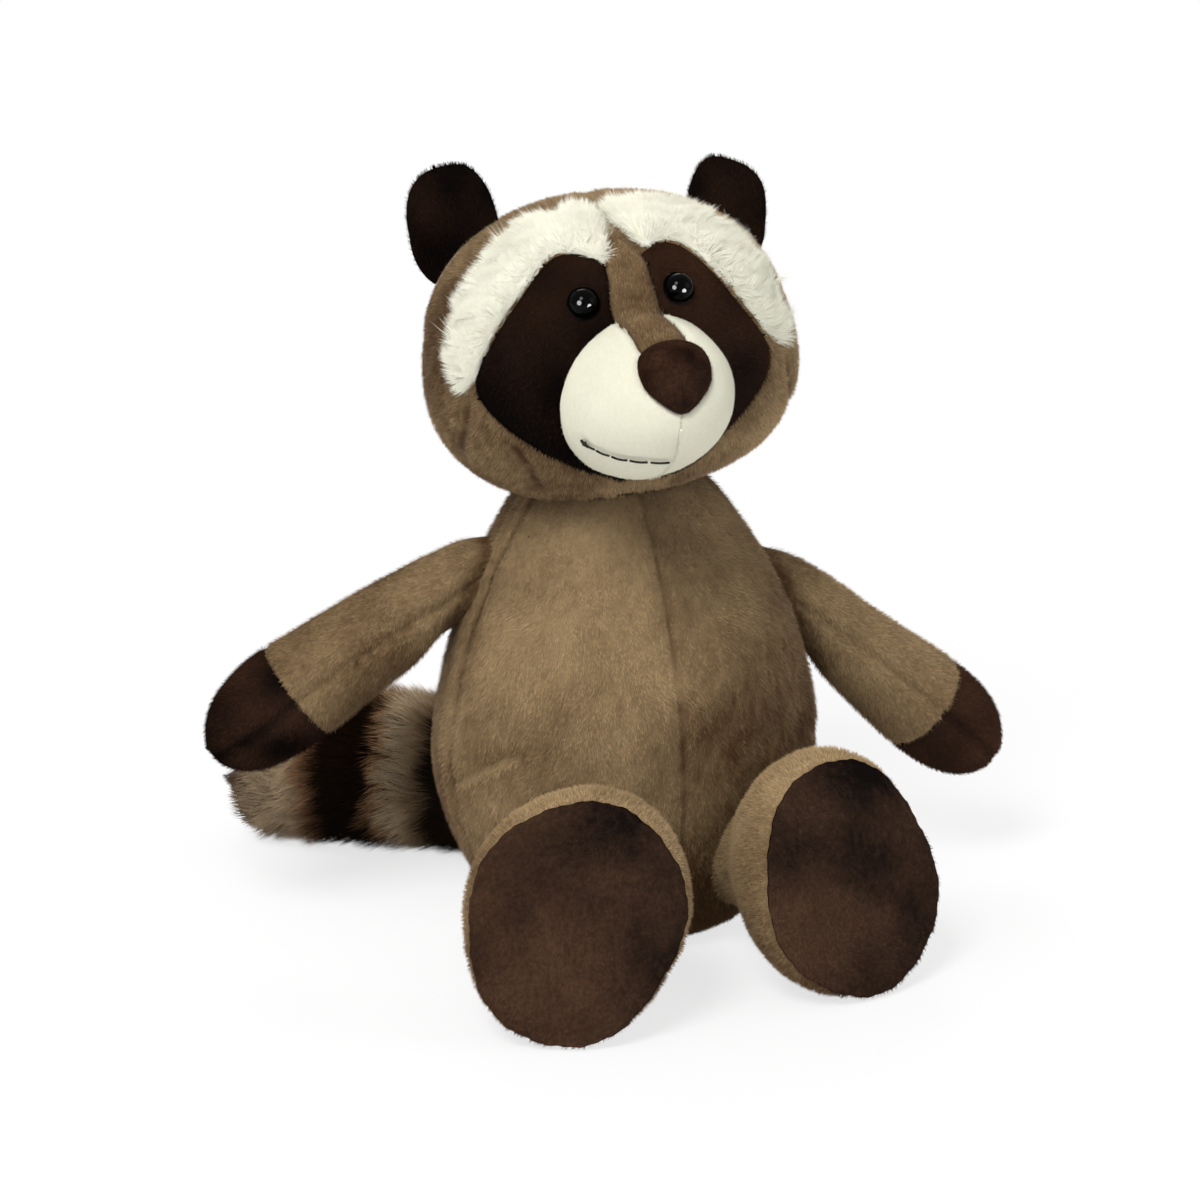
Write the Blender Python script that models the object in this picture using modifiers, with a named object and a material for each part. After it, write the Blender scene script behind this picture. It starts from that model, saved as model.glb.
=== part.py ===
"""A seated plush raccoon: stuffed fabric limbs, a patched face with long brow fur, and a banded tail.

The toy faces -Y, its own left side is +X, and it sits on the plane Z = 0.
"""

import math

import bmesh
import bpy
import numpy as np
from mathutils import Matrix, Vector

# Fabric and seams
seam_gap = 0.0003
limb_gap = 0.0004
patch_thickness = 0.0025
seam_groove_depth = 0.0011
seam_groove_half_width = 0.0016
# How far a stuffed limb is pressed flat where it lies on the floor
floor_press = 0.0006

# Torso
torso_height = 0.134
torso_half_width = 0.0575
torso_half_depth = 0.048
torso_columns = 24
# Share of the height against share of the greatest girth, from the seat to the neck
torso_profile = (
    (0.00, 0.50),
    (0.03, 0.64),
    (0.08, 0.745),
    (0.16, 0.86),
    (0.27, 0.955),
    (0.39, 1.00),
    (0.50, 0.985),
    (0.62, 0.925),
    (0.72, 0.85),
    (0.81, 0.755),
    (0.90, 0.630),
    (0.97, 0.515),
    (1.04, 0.37),
)
torso_lean = -0.0045
dart_height = 0.031
dart_length = 0.026
dart_width = 0.0022
dart_depth = 0.0030
dart_turn = 52.0
dart_rise = 22.0

# Head
head_half_width = 0.0530
head_half_height = 0.0434
head_half_depth = 0.049
head_jowl = 0.10
# The squareness across, front to back and up of the head's rounded form
head_powers = (2.25, 2.1, 2.2)
neck_sink = 0.0050
head_forward = -0.004
head_side = -0.0080
head_turn = -8.6
head_lift = 12.5
head_tilt = -5.6
head_segments = 28
head_rings = 24

# Muzzle, a cushion that grows out of the lower face
muzzle_half_width = 0.0245
muzzle_half_height = 0.0230
muzzle_reach = 0.037
muzzle_drop = 0.0142
muzzle_set_back = 0.008
muzzle_blend = 0.004
# How far the muzzle leans to the toy's left for each length that it stands ahead of the face
muzzle_skew = 0.13
# How far the muzzle's seam rises towards the toy's left
muzzle_slant = 0.08
muzzle_columns = 24

# The point that the face panels' edges fan out from, as shares of the head's depth and the muzzle's drop
fan_forward_share = 0.37
fan_drop_share = 0.5
wedge_inner_share = 0.45
wedge_outer_share = 3.0

# The bridge's panel in the face's front view: its middle line and half width, from its top down to the nose
bridge_top = 0.0295
bridge_line = (
    (0.0008, 0.0235, 0.0053),
    (0.0010, 0.0165, 0.0060),
    (0.0010, 0.0085, 0.0070),
    (0.0026, 0.0040, 0.0072),
    (0.0032, -0.0025, 0.0060),
)
# The mask and brow panels on each side in the face's front view: out from the middle, then up
mask_outlines = {
    "right": (
        (0.0060, 0.0080),
        (0.0048, 0.0216),
        (0.0090, 0.0259),
        (0.0155, 0.0274),
        (0.0216, 0.0245),
        (0.0307, 0.0150),
        (0.0379, 0.0060),
        (0.0436, -0.0045),
        (0.0418, -0.0125),
        (0.0339, -0.0222),
        (0.0233, -0.0302),
        (0.0120, -0.0360),
        (0.0025, -0.0378),
        (0.0030, -0.0240),
    ),
    "left": (
        (0.0075, 0.0080),
        (0.0060, 0.0230),
        (0.0082, 0.0258),
        (0.0134, 0.0270),
        (0.0195, 0.0240),
        (0.0262, 0.0155),
        (0.0330, 0.0055),
        (0.0385, -0.0030),
        (0.0400, -0.0090),
        (0.0372, -0.0160),
        (0.0291, -0.0245),
        (0.0200, -0.0316),
        (0.0110, -0.0358),
        (0.0020, -0.0376),
        (0.0025, -0.0240),
    ),
}
brow_outlines = {
    "right": (
        (0.0045, 0.0240),
        (0.0038, 0.0310),
        (0.0025, 0.0365),
        (0.0075, 0.0392),
        (0.0215, 0.0368),
        (0.0320, 0.0300),
        (0.0405, 0.0200),
        (0.0455, 0.0105),
        (0.0482, 0.0015),
        (0.0470, -0.0065),
        (0.0438, -0.0030),
        (0.0384, 0.0068),
        (0.0312, 0.0158),
        (0.0220, 0.0253),
        (0.0150, 0.0284),
    ),
    "left": (
        (0.0072, 0.0268),
        (0.0030, 0.0330),
        (0.0008, 0.0378),
        (0.0095, 0.0398),
        (0.0225, 0.0372),
        (0.0320, 0.0305),
        (0.0395, 0.0205),
        (0.0445, 0.0100),
        (0.0466, 0.0010),
        (0.0452, -0.0060),
        (0.0405, -0.0025),
        (0.0342, 0.0062),
        (0.0274, 0.0162),
        (0.0200, 0.0255),
        (0.0135, 0.0282),
    ),
}
brow_pile = 0.0030

# Nose, a rounded triangle sewn on the muzzle's front
nose_side = 0.0042
nose_half_width = 0.0098
nose_top = 0.0000
nose_bottom = -0.0195
nose_crown = 0.0032

# Eyes, a dome on a shank that a lock washer holds behind the fabric
right_eye_place = (0.0129, 0.0125)
left_eye_place = (0.0134, 0.0131)
eye_radius = 0.0040
eye_dome_height = 0.0036
eye_rim_thickness = 0.0005
eye_shank_radius = 0.0015
eye_shank_length = 0.0085
eye_shank_clearance = 0.0004
washer_radius = 0.0058
washer_thickness = 0.0012
eye_columns = 14

# Ears
ear_half_width = 0.0134
ear_half_height = 0.0185
ear_half_thickness = 0.0042
ear_cup = 0.0065
ear_root_flare = 0.22
right_ear_place = (0.0367, 0.0380)
left_ear_place = (0.0368, 0.0308)
ear_back = 0.0060
right_ear_splay = 6.0
left_ear_splay = 20.0
ear_turn = 14.0

# Arms: the share of the length against half the thickness, from the shoulder to the tip
arm_length = 0.112
shoulder_sink = 0.012
arm_flatness = 0.90
arm_profile = (
    (0.00, 0.0108),
    (0.12, 0.0123),
    (0.28, 0.0134),
    (0.44, 0.0142),
    (0.58, 0.0154),
    (0.72, 0.0163),
    (0.82, 0.0162),
    (0.90, 0.0142),
    (0.955, 0.0108),
    (0.988, 0.0058),
)
hand_share = 0.72
arm_columns = 16
# Each arm's seat on the torso's side, and in degrees its droop below level, bend and sweep to the back
right_shoulder_height = 0.1155
right_arm_droop = 33.5
right_arm_bend = 15.0
right_arm_sweep = 16.0
left_shoulder_height = 0.1045
left_arm_droop = 39.5
left_arm_bend = 6.0
left_arm_sweep = 4.0

# Legs: the distance behind the sole against the share of the foot's girth
foot_half_width = 0.0305
foot_half_height = 0.0356
foot_tilt = 15.0
leg_half_width = 0.0180
leg_profile = (
    (0.0000, 0.94),
    (0.0035, 1.00),
    (0.0090, 1.01),
    (0.0160, 0.86),
    (0.0230, 0.52),
    (0.0320, 0.16),
    (0.0420, 0.00),
    (0.0540, 0.00),
)
leg_columns = 24
sole_thickness = 0.0042
sole_share = 0.965
right_sole_place = (-0.0455, -0.0830)
right_foot_turn = -20.0
right_foot_roll = 20.0
left_sole_place = (0.0368, -0.0775)
left_foot_turn = 14.0
left_foot_roll = -12.0
leg_level = 0.62

# Tail: plan of its middle line on the floor, and its half thickness there, from the body out
tail_route = (
    (0.000, 0.034, 0.0170),
    (-0.010, 0.051, 0.0205),
    (-0.024, 0.065, 0.0235),
    (-0.040, 0.076, 0.0258),
    (-0.056, 0.086, 0.0258),
    (-0.069, 0.095, 0.0236),
    (-0.079, 0.102, 0.0190),
    (-0.086, 0.107, 0.0125),
    (-0.090, 0.110, 0.0055),
)
tail_tip_height = 0.0185
tail_columns = 18
tail_sections = 17
tail_bands = 6

# Colours, as linear values
taupe = (0.165, 0.110, 0.062)
dark_brown = (0.024, 0.010, 0.005)
sole_brown = (0.036, 0.017, 0.009)
cream = (0.86, 0.84, 0.68)
tail_tan = (0.100, 0.068, 0.040)
eye_black = (0.004, 0.004, 0.004)
washer_white = (0.75, 0.75, 0.73)


def clear_scene():
    for thing in list(bpy.data.objects):
        bpy.data.objects.remove(thing, do_unlink=True)


def make_collection(name):
    collection = bpy.data.collections.new(name)
    bpy.context.scene.collection.children.link(collection)
    return collection


def make_material(name, colour, roughness, metallic=0.0):
    material = bpy.data.materials.new(name)
    material.use_nodes = True
    shader = material.node_tree.nodes["Principled BSDF"]
    shader.inputs["Base Color"].default_value = (*colour, 1.0)
    shader.inputs["Roughness"].default_value = roughness
    shader.inputs["Metallic"].default_value = metallic
    material.diffuse_color = (*colour, 1.0)
    return material


def add_object(name, mesh, collection, material=None, parent=None):
    thing = bpy.data.objects.new(name, mesh)
    collection.objects.link(thing)
    thing.parent = parent
    if material is not None:
        mesh.materials.append(material)
    mesh.shade_smooth()
    mesh.set_sharp_from_angle(angle=math.radians(50))
    return thing


def add_cutter(name, mesh, collection, parent=None):
    cutter = add_object(name, mesh, collection, parent=parent)
    cutter.hide_render = True
    cutter.display_type = "WIRE"
    return cutter


def boolean(thing, other, operation):
    modifier = thing.modifiers.new(f"{operation.lower()} {other.name}", "BOOLEAN")
    modifier.operation = operation
    modifier.object = other
    modifier.solver = "EXACT"


def mesh_from_bmesh(name, shape):
    bmesh.ops.recalc_face_normals(shape, faces=shape.faces)
    mesh = bpy.data.meshes.new(name)
    shape.to_mesh(mesh)
    shape.free()
    return mesh


def smooth_loop(points, steps):
    """A closed curve through the points, with the given number of steps between each two."""
    points = np.array(points)
    before = np.roll(points, 1, axis=0)
    after = np.roll(points, -1, axis=0)
    beyond = np.roll(points, -2, axis=0)
    curve = []
    for step in range(steps):
        t = step / steps
        curve.append(
            0.5
            * (
                2 * points
                + (after - before) * t
                + (2 * before - 5 * points + 4 * after - beyond) * t**2
                + (3 * points - before - 3 * after + beyond) * t**3
            )
        )
    return np.stack(curve, axis=1).reshape(-1, points.shape[1])


def grown_loop(points, distance):
    """The closed outline moved outwards by the distance."""
    ahead = np.roll(points, -1, axis=0) - points
    area = np.sum(points[:, 0] * np.roll(points[:, 1], -1) - np.roll(points[:, 0], -1) * points[:, 1])
    normals = np.stack([ahead[:, 1], -ahead[:, 0]], axis=1) * np.sign(area)
    normals = normals / np.linalg.norm(normals, axis=1, keepdims=True)
    corners = normals + np.roll(normals, 1, axis=0)
    corners = corners / np.linalg.norm(corners, axis=1, keepdims=True)
    return points + corners * distance


def loft(name, rings):
    """A closed form through rings of equal point count, with its ends capped by fans."""
    shape = bmesh.new()
    levels = [[shape.verts.new(point) for point in ring] for ring in rings]
    count = len(levels[0])
    for lower, upper in zip(levels, levels[1:]):
        for i in range(count):
            j = (i + 1) % count
            shape.faces.new((lower[i], lower[j], upper[j], upper[i]))
    for level in (levels[0], levels[-1]):
        middle = shape.verts.new(sum((vert.co for vert in level), Vector()) / count)
        for i in range(count):
            shape.faces.new((level[i], level[(i + 1) % count], middle))
    return mesh_from_bmesh(name, shape)


def ring_angles(columns, seams):
    """Column angles round a stuffed tube, in degrees, each marked as a seam or not."""
    pitch = 360.0 / columns
    clear_of_seams = [
        pitch * i
        for i in range(columns)
        if all(abs((pitch * i - seam + 180.0) % 360.0 - 180.0) > 0.55 * pitch for seam in seams)
    ]
    return sorted([(angle, False) for angle in clear_of_seams] + [(seam, True) for seam in seams])


def stuffed_ring(centre, across, along, half_across, half_along, angles, groove, half_groove):
    """An oval ring of points with a V groove at each seam."""
    ring = []
    for degrees, is_seam in angles:
        turn = math.radians(degrees)
        spread = half_groove / max(half_across, half_along)
        offsets = ((-spread, 0.0), (0.0, groove), (spread, 0.0)) if is_seam else ((0.0, 0.0),)
        for shift, depth in offsets:
            ring.append(
                centre
                + across * (half_across - depth) * math.sin(turn + shift)
                + along * (half_along - depth) * math.cos(turn + shift)
            )
    return ring


def rest_on_floor(rings):
    return [[Vector((point.x, point.y, max(point.z, 0.0))) for point in ring] for ring in rings]


def torso_girth(height):
    shares = [share * torso_height for share, girth in torso_profile]
    return float(np.interp(height, shares, [girth for share, girth in torso_profile]))


def torso_rings(clearance, groove):
    seams = (0.0, 90.0, 180.0, 270.0)
    angles = ring_angles(torso_columns, seams)
    rings = []
    for share, girth in torso_profile:
        centre = Vector((torso_lean * share**3, 0.0, share * torso_height))
        if share == 0.0:
            centre.z -= clearance
        rings.append(
            stuffed_ring(
                centre,
                Vector((1.0, 0.0, 0.0)),
                Vector((0.0, -1.0, 0.0)),
                torso_half_width * girth + clearance,
                torso_half_depth * girth + clearance,
                angles,
                groove * min(1.0, 4.0 * share),
                seam_groove_half_width,
            )
        )
    return rings


def superellipse(points, halves, powers):
    """Below zero inside a rounded box with the given half sizes."""
    total = sum(np.abs(points[:, i] / halves[i]) ** powers[i] for i in range(3))
    return total ** (1.0 / powers[2]) - 1.0


def head_level(points):
    """Below zero inside the head and muzzle, in the head's own frame."""
    drop = np.clip(-points[:, 2] / head_half_height, -0.2, 1.0)
    width = head_half_width * (1.0 + head_jowl * drop)
    skull = superellipse(points, (width, head_half_depth, head_half_height), head_powers) * head_half_depth
    middle = np.array((0.0, -head_half_depth + muzzle_set_back, -muzzle_drop))
    halves = np.array((muzzle_half_width, muzzle_reach, muzzle_half_height))
    offset = points - middle
    offset[:, 0] -= muzzle_skew * np.maximum(-points[:, 1] - head_half_depth, 0.0)
    muzzle = (np.linalg.norm(offset / halves, axis=1) - 1.0) * muzzle_half_width
    overlap = np.maximum(muzzle_blend - np.abs(skull - muzzle), 0.0) / muzzle_blend
    return np.minimum(skull, muzzle) - overlap**2 * muzzle_blend / 4.0


def fan_centre():
    """The point inside the face from which every face panel's edges fan out."""
    return np.array((0.0, -fan_forward_share * head_half_depth, -fan_drop_share * muzzle_drop))


def crossing(starts, directions, reach):
    """How far along each direction the head's surface lies."""
    near = np.zeros(len(directions))
    far = np.full(len(directions), reach)
    for _ in range(40):
        middle = (near + far) / 2.0
        inside = head_level(starts + directions * middle[:, None]) < 0.0
        near = np.where(inside, middle, near)
        far = np.where(inside, far, middle)
    return near


def head_form(name, offset):
    """The head and muzzle as one closed form, with its surface moved out by the offset."""
    shape = bmesh.new()
    turn = Matrix.Rotation(math.radians(90.0), 4, "X")
    bmesh.ops.create_uvsphere(shape, u_segments=head_segments, v_segments=head_rings, radius=1.0, matrix=turn)
    directions = np.array([vert.co.normalized() for vert in shape.verts])
    centre = fan_centre()
    reach = crossing(centre, directions, 3.0 * head_half_width) + offset
    for vert, place in zip(shape.verts, centre + directions * reach[:, None]):
        vert.co = Vector(place)
    # One diagonal in every copy, so that the layers nest
    bmesh.ops.triangulate(shape, faces=shape.faces, quad_method="FIXED")
    return mesh_from_bmesh(name, shape)


def face_points(outline):
    """Where points of the face's front view lie on its surface."""
    outline = np.array(outline)
    starts = np.stack([outline[:, 0], np.full(len(outline), fan_centre()[1]), outline[:, 1]], axis=1)
    forward = np.tile(np.array((0.0, -1.0, 0.0)), (len(outline), 1))
    return starts + forward * crossing(starts, forward, 2.0 * head_half_width)[:, None]


def face_normal(point):
    steps = seam_gap * np.eye(3)
    gradient = head_level(point + steps) - head_level(point - steps)
    return Vector(gradient).normalized()


def panel_wedge(name, outline, growth):
    """A wedge that fans out from inside the head through a face panel's outline."""
    centre = fan_centre()
    places = face_points(grown_loop(outline, growth))
    inner = [Vector(centre + wedge_inner_share * (place - centre)) for place in places]
    outer = [Vector(centre + wedge_outer_share * (place - centre)) for place in places]
    return loft(name, [inner, outer])


def mirrored(outline, side):
    points = np.array(outline) * (side, 1.0)
    return points if side > 0 else points[::-1]


def arc(centre, radius, start, end, steps):
    turns = np.radians(np.linspace(start, end, steps))
    return [(centre[0] + radius * math.cos(t), centre[1] + radius * math.sin(t)) for t in turns]


def bridge_outline():
    crown = (bridge_line[0][0], bridge_top)
    right = [(middle + half, height) for middle, height, half in bridge_line]
    left = [(middle - half, height) for middle, height, half in reversed(bridge_line)]
    return smooth_loop([crown] + right + left, 2)


def muzzle_outline():
    """A slanting oval, with none of its corners on the head's middle plane."""
    stretch = muzzle_half_width / muzzle_half_height
    first = 180.0 / muzzle_columns
    across, up = np.array(arc((0.0, -muzzle_drop), muzzle_half_height, first, 360.0 - first, muzzle_columns)).T
    return np.stack([across * stretch, up + muzzle_slant * across], axis=1)


def nose_outline():
    width = nose_half_width
    height = nose_top - nose_bottom
    corners = (
        (0.0, nose_top),
        (0.62 * width, nose_top - 0.01 * height),
        (width, nose_top - 0.22 * height),
        (0.82 * width, nose_top - 0.50 * height),
        (0.34 * width, nose_top - 0.90 * height),
        (0.0, nose_bottom),
    )
    left = [(-across, up) for across, up in corners[-2:0:-1]]
    return smooth_loop(list(corners) + left, 2) + (nose_side, 0.0)


def nose_mesh(name, growth, depth, crown):
    """The nose as a cushion: its outline's rings close in as they rise off the muzzle."""
    outline = grown_loop(nose_outline(), growth)
    middle = np.array((nose_side, (nose_top + nose_bottom) / 2.0))
    centre = fan_centre()
    inner = ((0.36, -depth), (0.72, -depth), (1.0, -depth))
    outer = ((1.0, 0.25 * crown), (0.93, 0.62 * crown), (0.72, 0.88 * crown), (0.36, crown))
    rings = []
    for share, rise in inner + outer:
        places = face_points(middle + (outline - middle) * share)
        outward = (places - centre) / np.linalg.norm(places - centre, axis=1, keepdims=True)
        rings.append([Vector(place) for place in places + outward * rise])
    return loft(name, rings)


def turned(name, profile, steps, matrix, collection, material=None, parent=None):
    """A turned piece: the profile runs from the axis at the top, down its outer side, to the axis."""
    mesh = bpy.data.meshes.new(name)
    is_ring = profile[0][0] > 0.0
    edges = [(i, (i + 1) % len(profile)) for i in range(len(profile) - 1 + is_ring)]
    mesh.from_pydata([(radius, 0.0, height) for radius, height in profile], edges, [])
    thing = add_object(name, mesh, collection, material, parent)
    thing.matrix_local = matrix
    screw = thing.modifiers.new("turn", "SCREW")
    screw.steps = steps
    screw.render_steps = steps
    screw.use_merge_vertices = True
    screw.merge_threshold = 0.00001
    return thing


def eye_frame(side):
    """The eye's seat: Z points out of the face, from the mask's surface."""
    across, up = left_eye_place if side > 0 else right_eye_place
    place = face_points([(side * across, up)])[0]
    turn = face_normal(place).to_track_quat("Z", "Y").to_matrix().to_4x4()
    return Matrix.Translation(Vector(place)) @ turn


def make_eye(side_name, side, parts, parent, materials):
    frame = eye_frame(side)
    seat = seam_gap
    dome = [
        (
            eye_radius * math.sin(math.radians(turn)),
            seat + eye_rim_thickness + eye_dome_height * math.cos(math.radians(turn)),
        )
        for turn in (0.0, 18.0, 36.0, 54.0, 72.0, 90.0)
    ]
    profile = dome + [
        (eye_radius + eye_rim_thickness, seat + eye_rim_thickness),
        (eye_radius + eye_rim_thickness, seat),
        (eye_shank_radius, seat),
        (eye_shank_radius, seat - eye_shank_length),
        (0.0, seat - eye_shank_length),
    ]
    turned(f"eye_{side_name}", profile, eye_columns, frame, parts, materials["eye"], parent)
    washer_top = -patch_thickness - 2.0 * seam_gap
    bore = eye_shank_radius + eye_shank_clearance
    ring = [
        (bore, washer_top),
        (washer_radius, washer_top),
        (washer_radius, washer_top - washer_thickness),
        (bore, washer_top - washer_thickness),
    ]
    turned(f"eye_washer_{side_name}", ring, eye_columns, frame, parts, materials["washer"], parent)


def eye_bore(name, side, cutters, parent, radius, depth, seat_radius=0.0):
    """A round hole down from above the mask, on the eye's axis, with a wider seat down to the mask."""
    top = 2.0 * eye_dome_height
    wide = max(radius, seat_radius)
    profile = [(0.0, top), (wide, top), (wide, 0.0), (radius, 0.0), (radius, -depth), (0.0, -depth)]
    cutter = turned(name, profile, eye_columns, eye_frame(side), cutters, parent=parent)
    cutter.hide_render = True
    cutter.display_type = "WIRE"
    return cutter


def make_head(parts, cutters, materials):
    frame = bpy.data.objects.new("head_frame", None)
    parts.objects.link(frame)
    frame.location = (head_side, head_forward, torso_height + head_half_height - neck_sink)
    frame.rotation_mode = "ZYX"
    turn = Matrix.Rotation(math.radians(head_turn), 3, "Z")
    tilt = Matrix.Rotation(math.radians(head_tilt), 3, "Y")
    lift = Matrix.Rotation(math.radians(-head_lift), 3, "X")
    frame.rotation_euler = (turn @ tilt @ lift).to_euler("ZYX")

    head = add_object("head", head_form("head", 0.0), parts, materials["taupe"], frame)
    core = add_cutter("head_core", head_form("head_core", -patch_thickness - seam_gap), cutters, frame)
    lining = add_cutter("head_lining", head_form("head_lining", -patch_thickness), cutters, frame)
    clearance = add_cutter("head_clearance", head_form("head_clearance", seam_gap), cutters, frame)

    outlines = {"nose_bridge": bridge_outline(), "muzzle": muzzle_outline()}
    for side_name, side in (("left", 1.0), ("right", -1.0)):
        outlines[f"mask_{side_name}"] = smooth_loop(mirrored(mask_outlines[side_name], side), 2)
        outlines[f"brow_{side_name}"] = smooth_loop(mirrored(brow_outlines[side_name], side), 2)
    ears = {"left": (left_ear_place, left_ear_splay), "right": (right_ear_place, right_ear_splay)}
    wedges = {}
    pockets = {}
    for name, outline in outlines.items():
        wedges[name] = add_cutter(f"{name}_wedge", panel_wedge(name, outline, 0.0), cutters, frame)
        pockets[name] = add_cutter(f"{name}_pocket", panel_wedge(name, outline, seam_gap), cutters, frame)
        boolean(head, pockets[name], "DIFFERENCE")
    boolean(head, core, "UNION")

    pocket_mesh = nose_mesh("nose_pocket", seam_gap, 2.0 * patch_thickness, 3.0 * nose_crown)
    nose_pocket = add_cutter("nose_pocket", pocket_mesh, cutters, frame)
    nose = nose_mesh("nose", 0.0, patch_thickness, nose_crown)
    add_object("nose", nose, parts, materials["nose"], frame)

    def panel(node, key, material, neighbours, offset=0.0):
        piece = add_object(node, head_form(node, offset), parts, material, frame)
        boolean(piece, wedges[key], "INTERSECT")
        for neighbour in neighbours:
            boolean(piece, neighbour, "DIFFERENCE")
        boolean(piece, lining, "DIFFERENCE")
        return piece

    panel("nose_bridge", "nose_bridge", materials["taupe"], [nose_pocket])
    bridge = pockets["nose_bridge"]
    for side_name, side in (("left", 1.0), ("right", -1.0)):
        seam = add_cutter(f"muzzle_half_{side_name}", half_space(side, seam_gap / 2.0), cutters, frame)
        half = panel(f"muzzle_{side_name}", "muzzle", materials["cream"], [bridge, nose_pocket])
        boolean(half, seam, "INTERSECT")
        shank_radius = eye_shank_radius + eye_shank_clearance
        rim_radius = eye_radius + eye_rim_thickness + seam_gap
        depth = 2.0 * patch_thickness
        bore = eye_bore(f"mask_bore_{side_name}", side, cutters, frame, shank_radius, depth, rim_radius)
        mask = panel(f"mask_{side_name}", f"mask_{side_name}", materials["mask"], [bridge, pockets["muzzle"]])
        boolean(mask, bore, "DIFFERENCE")
        around = [bridge, pockets[f"mask_{side_name}"]]
        panel(f"brow_fur_{side_name}", f"brow_{side_name}", materials["cream"], around, brow_pile)
        washer_depth = patch_thickness + 3.0 * seam_gap + washer_thickness
        seat = eye_bore(f"washer_seat_{side_name}", side, cutters, frame, washer_radius + seam_gap, washer_depth)
        shank_depth = eye_shank_length + seam_gap
        shank = eye_bore(f"shank_bore_{side_name}", side, cutters, frame, shank_radius, shank_depth)
        boolean(head, seat, "DIFFERENCE")
        boolean(head, shank, "DIFFERENCE")
        make_eye(side_name, side, parts, frame, materials)
        place, splay = ears[side_name]
        make_ear(side_name, side, place, splay, parts, frame, materials["ear"], clearance)
    return clearance


def half_space(side, gap):
    """A block that covers one side of the muzzle's middle plane, which leans with the muzzle."""
    size = 4.0 * head_half_width
    shape = bmesh.new()
    shift = Matrix.Translation((side * (size / 2.0 + gap), 0.0, 0.0))
    pivot = Matrix.Translation((0.0, -head_half_depth, 0.0))
    lean = Matrix.Rotation(math.atan(muzzle_skew), 4, "Z")
    bmesh.ops.create_cube(shape, size=size, matrix=pivot @ lean @ shift)
    return mesh_from_bmesh("half_space", shape)


def make_ear(side_name, side, place, splay, parts, parent, material, clearance):
    """A flat stuffed ear, cupped forwards and wider where it is sewn in."""
    shape = bmesh.new()
    bmesh.ops.create_uvsphere(shape, u_segments=18, v_segments=12, radius=1.0)
    for vert in shape.verts:
        across, through, up = vert.co
        flare = 1.0 + ear_root_flare * max(0.0, -up)
        vert.co.x = across * ear_half_width * flare
        vert.co.y = through * ear_half_thickness - ear_cup * across**2
        vert.co.z = up * ear_half_height
    ear = add_object(f"ear_{side_name}", mesh_from_bmesh("ear", shape), parts, material, parent)
    lean = Matrix.Rotation(math.radians(side * splay), 4, "Y")
    turn = Matrix.Rotation(math.radians(side * ear_turn), 4, "Z")
    ear.matrix_local = Matrix.Translation((side * place[0], ear_back, place[1])) @ turn @ lean
    boolean(ear, clearance, "DIFFERENCE")


def arm_direction(side, droop, sweep):
    level = math.cos(math.radians(droop))
    return Vector(
        (
            side * level * math.cos(math.radians(sweep)),
            level * math.sin(math.radians(sweep)),
            -math.sin(math.radians(droop)),
        )
    )


def arm_ring(side, pose, distance, half):
    """An oval across the arm, whose middle line leaves the shoulder and bends down as an even arc."""
    height, droop, bend, sweep = pose
    sink = torso_half_width * torso_girth(height) - shoulder_sink
    root = Vector((side * sink, 0.0, height))
    turned_by = bend * distance / arm_length
    start = droop - bend / 2.0
    chord = distance * float(np.sinc(math.radians(turned_by) / 2.0 / math.pi))
    direction = arm_direction(side, start + turned_by, sweep)
    forward = direction.cross(Vector((0.0, 0.0, 1.0))).normalized() * side
    up = (forward.cross(direction) * side).normalized()
    angles = ring_angles(arm_columns, (90.0, 270.0))
    return stuffed_ring(
        root + arm_direction(side, start + turned_by / 2.0, sweep) * chord,
        forward,
        up,
        half * arm_flatness,
        half,
        angles,
        seam_groove_depth * half / arm_half(hand_share),
        seam_groove_half_width,
    )


def arm_half(share):
    return float(np.interp(share, [s for s, h in arm_profile], [h for s, h in arm_profile]))


def make_arm(side_name, side, pose, parts, materials, torso_clearance):
    wrist = hand_share * arm_length
    sleeve = [(s * arm_length, h) for s, h in arm_profile if s < hand_share]
    sleeve.append((wrist, arm_half(hand_share)))
    paw = [(wrist + seam_gap, arm_half(hand_share))]
    paw += [(s * arm_length, h) for s, h in arm_profile if s > hand_share]
    arm = loft(f"arm_{side_name}", [arm_ring(side, pose, d, h) for d, h in sleeve])
    arm = add_object(f"arm_{side_name}", arm, parts, materials["taupe"])
    boolean(arm, torso_clearance, "DIFFERENCE")
    hand = loft(f"hand_{side_name}", [arm_ring(side, pose, d, h) for d, h in paw])
    add_object(f"hand_{side_name}", hand, parts, materials["dark"])


def foot_frame(place, turn, roll):
    """The sole's centre, the direction that it faces, and the two directions across it."""
    tilt = math.radians(foot_tilt)
    yaw = math.radians(turn)
    facing = Vector((math.sin(yaw) * math.cos(tilt), -math.cos(yaw) * math.cos(tilt), math.sin(tilt)))
    across = Vector((math.cos(yaw), math.sin(yaw), 0.0))
    up = across.cross(-facing).normalized()
    spin = Matrix.Rotation(math.radians(-roll), 3, facing)
    centre = Vector((place[0], place[1], foot_half_height * math.cos(tilt) - floor_press))
    return centre, facing, spin @ across, spin @ up


def foot_ring(frame, distance, half_width, half_height):
    """An oval across the foot, raised behind the sole so that the leg runs back more level."""
    centre, facing, across, up = frame
    place = centre + facing * distance
    place.z -= leg_level * min(distance, 0.0) * math.sin(math.radians(foot_tilt))
    return stuffed_ring(place, across, up, half_width, half_height, ring_angles(leg_columns, ()), 0.0, 0.0)


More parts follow.
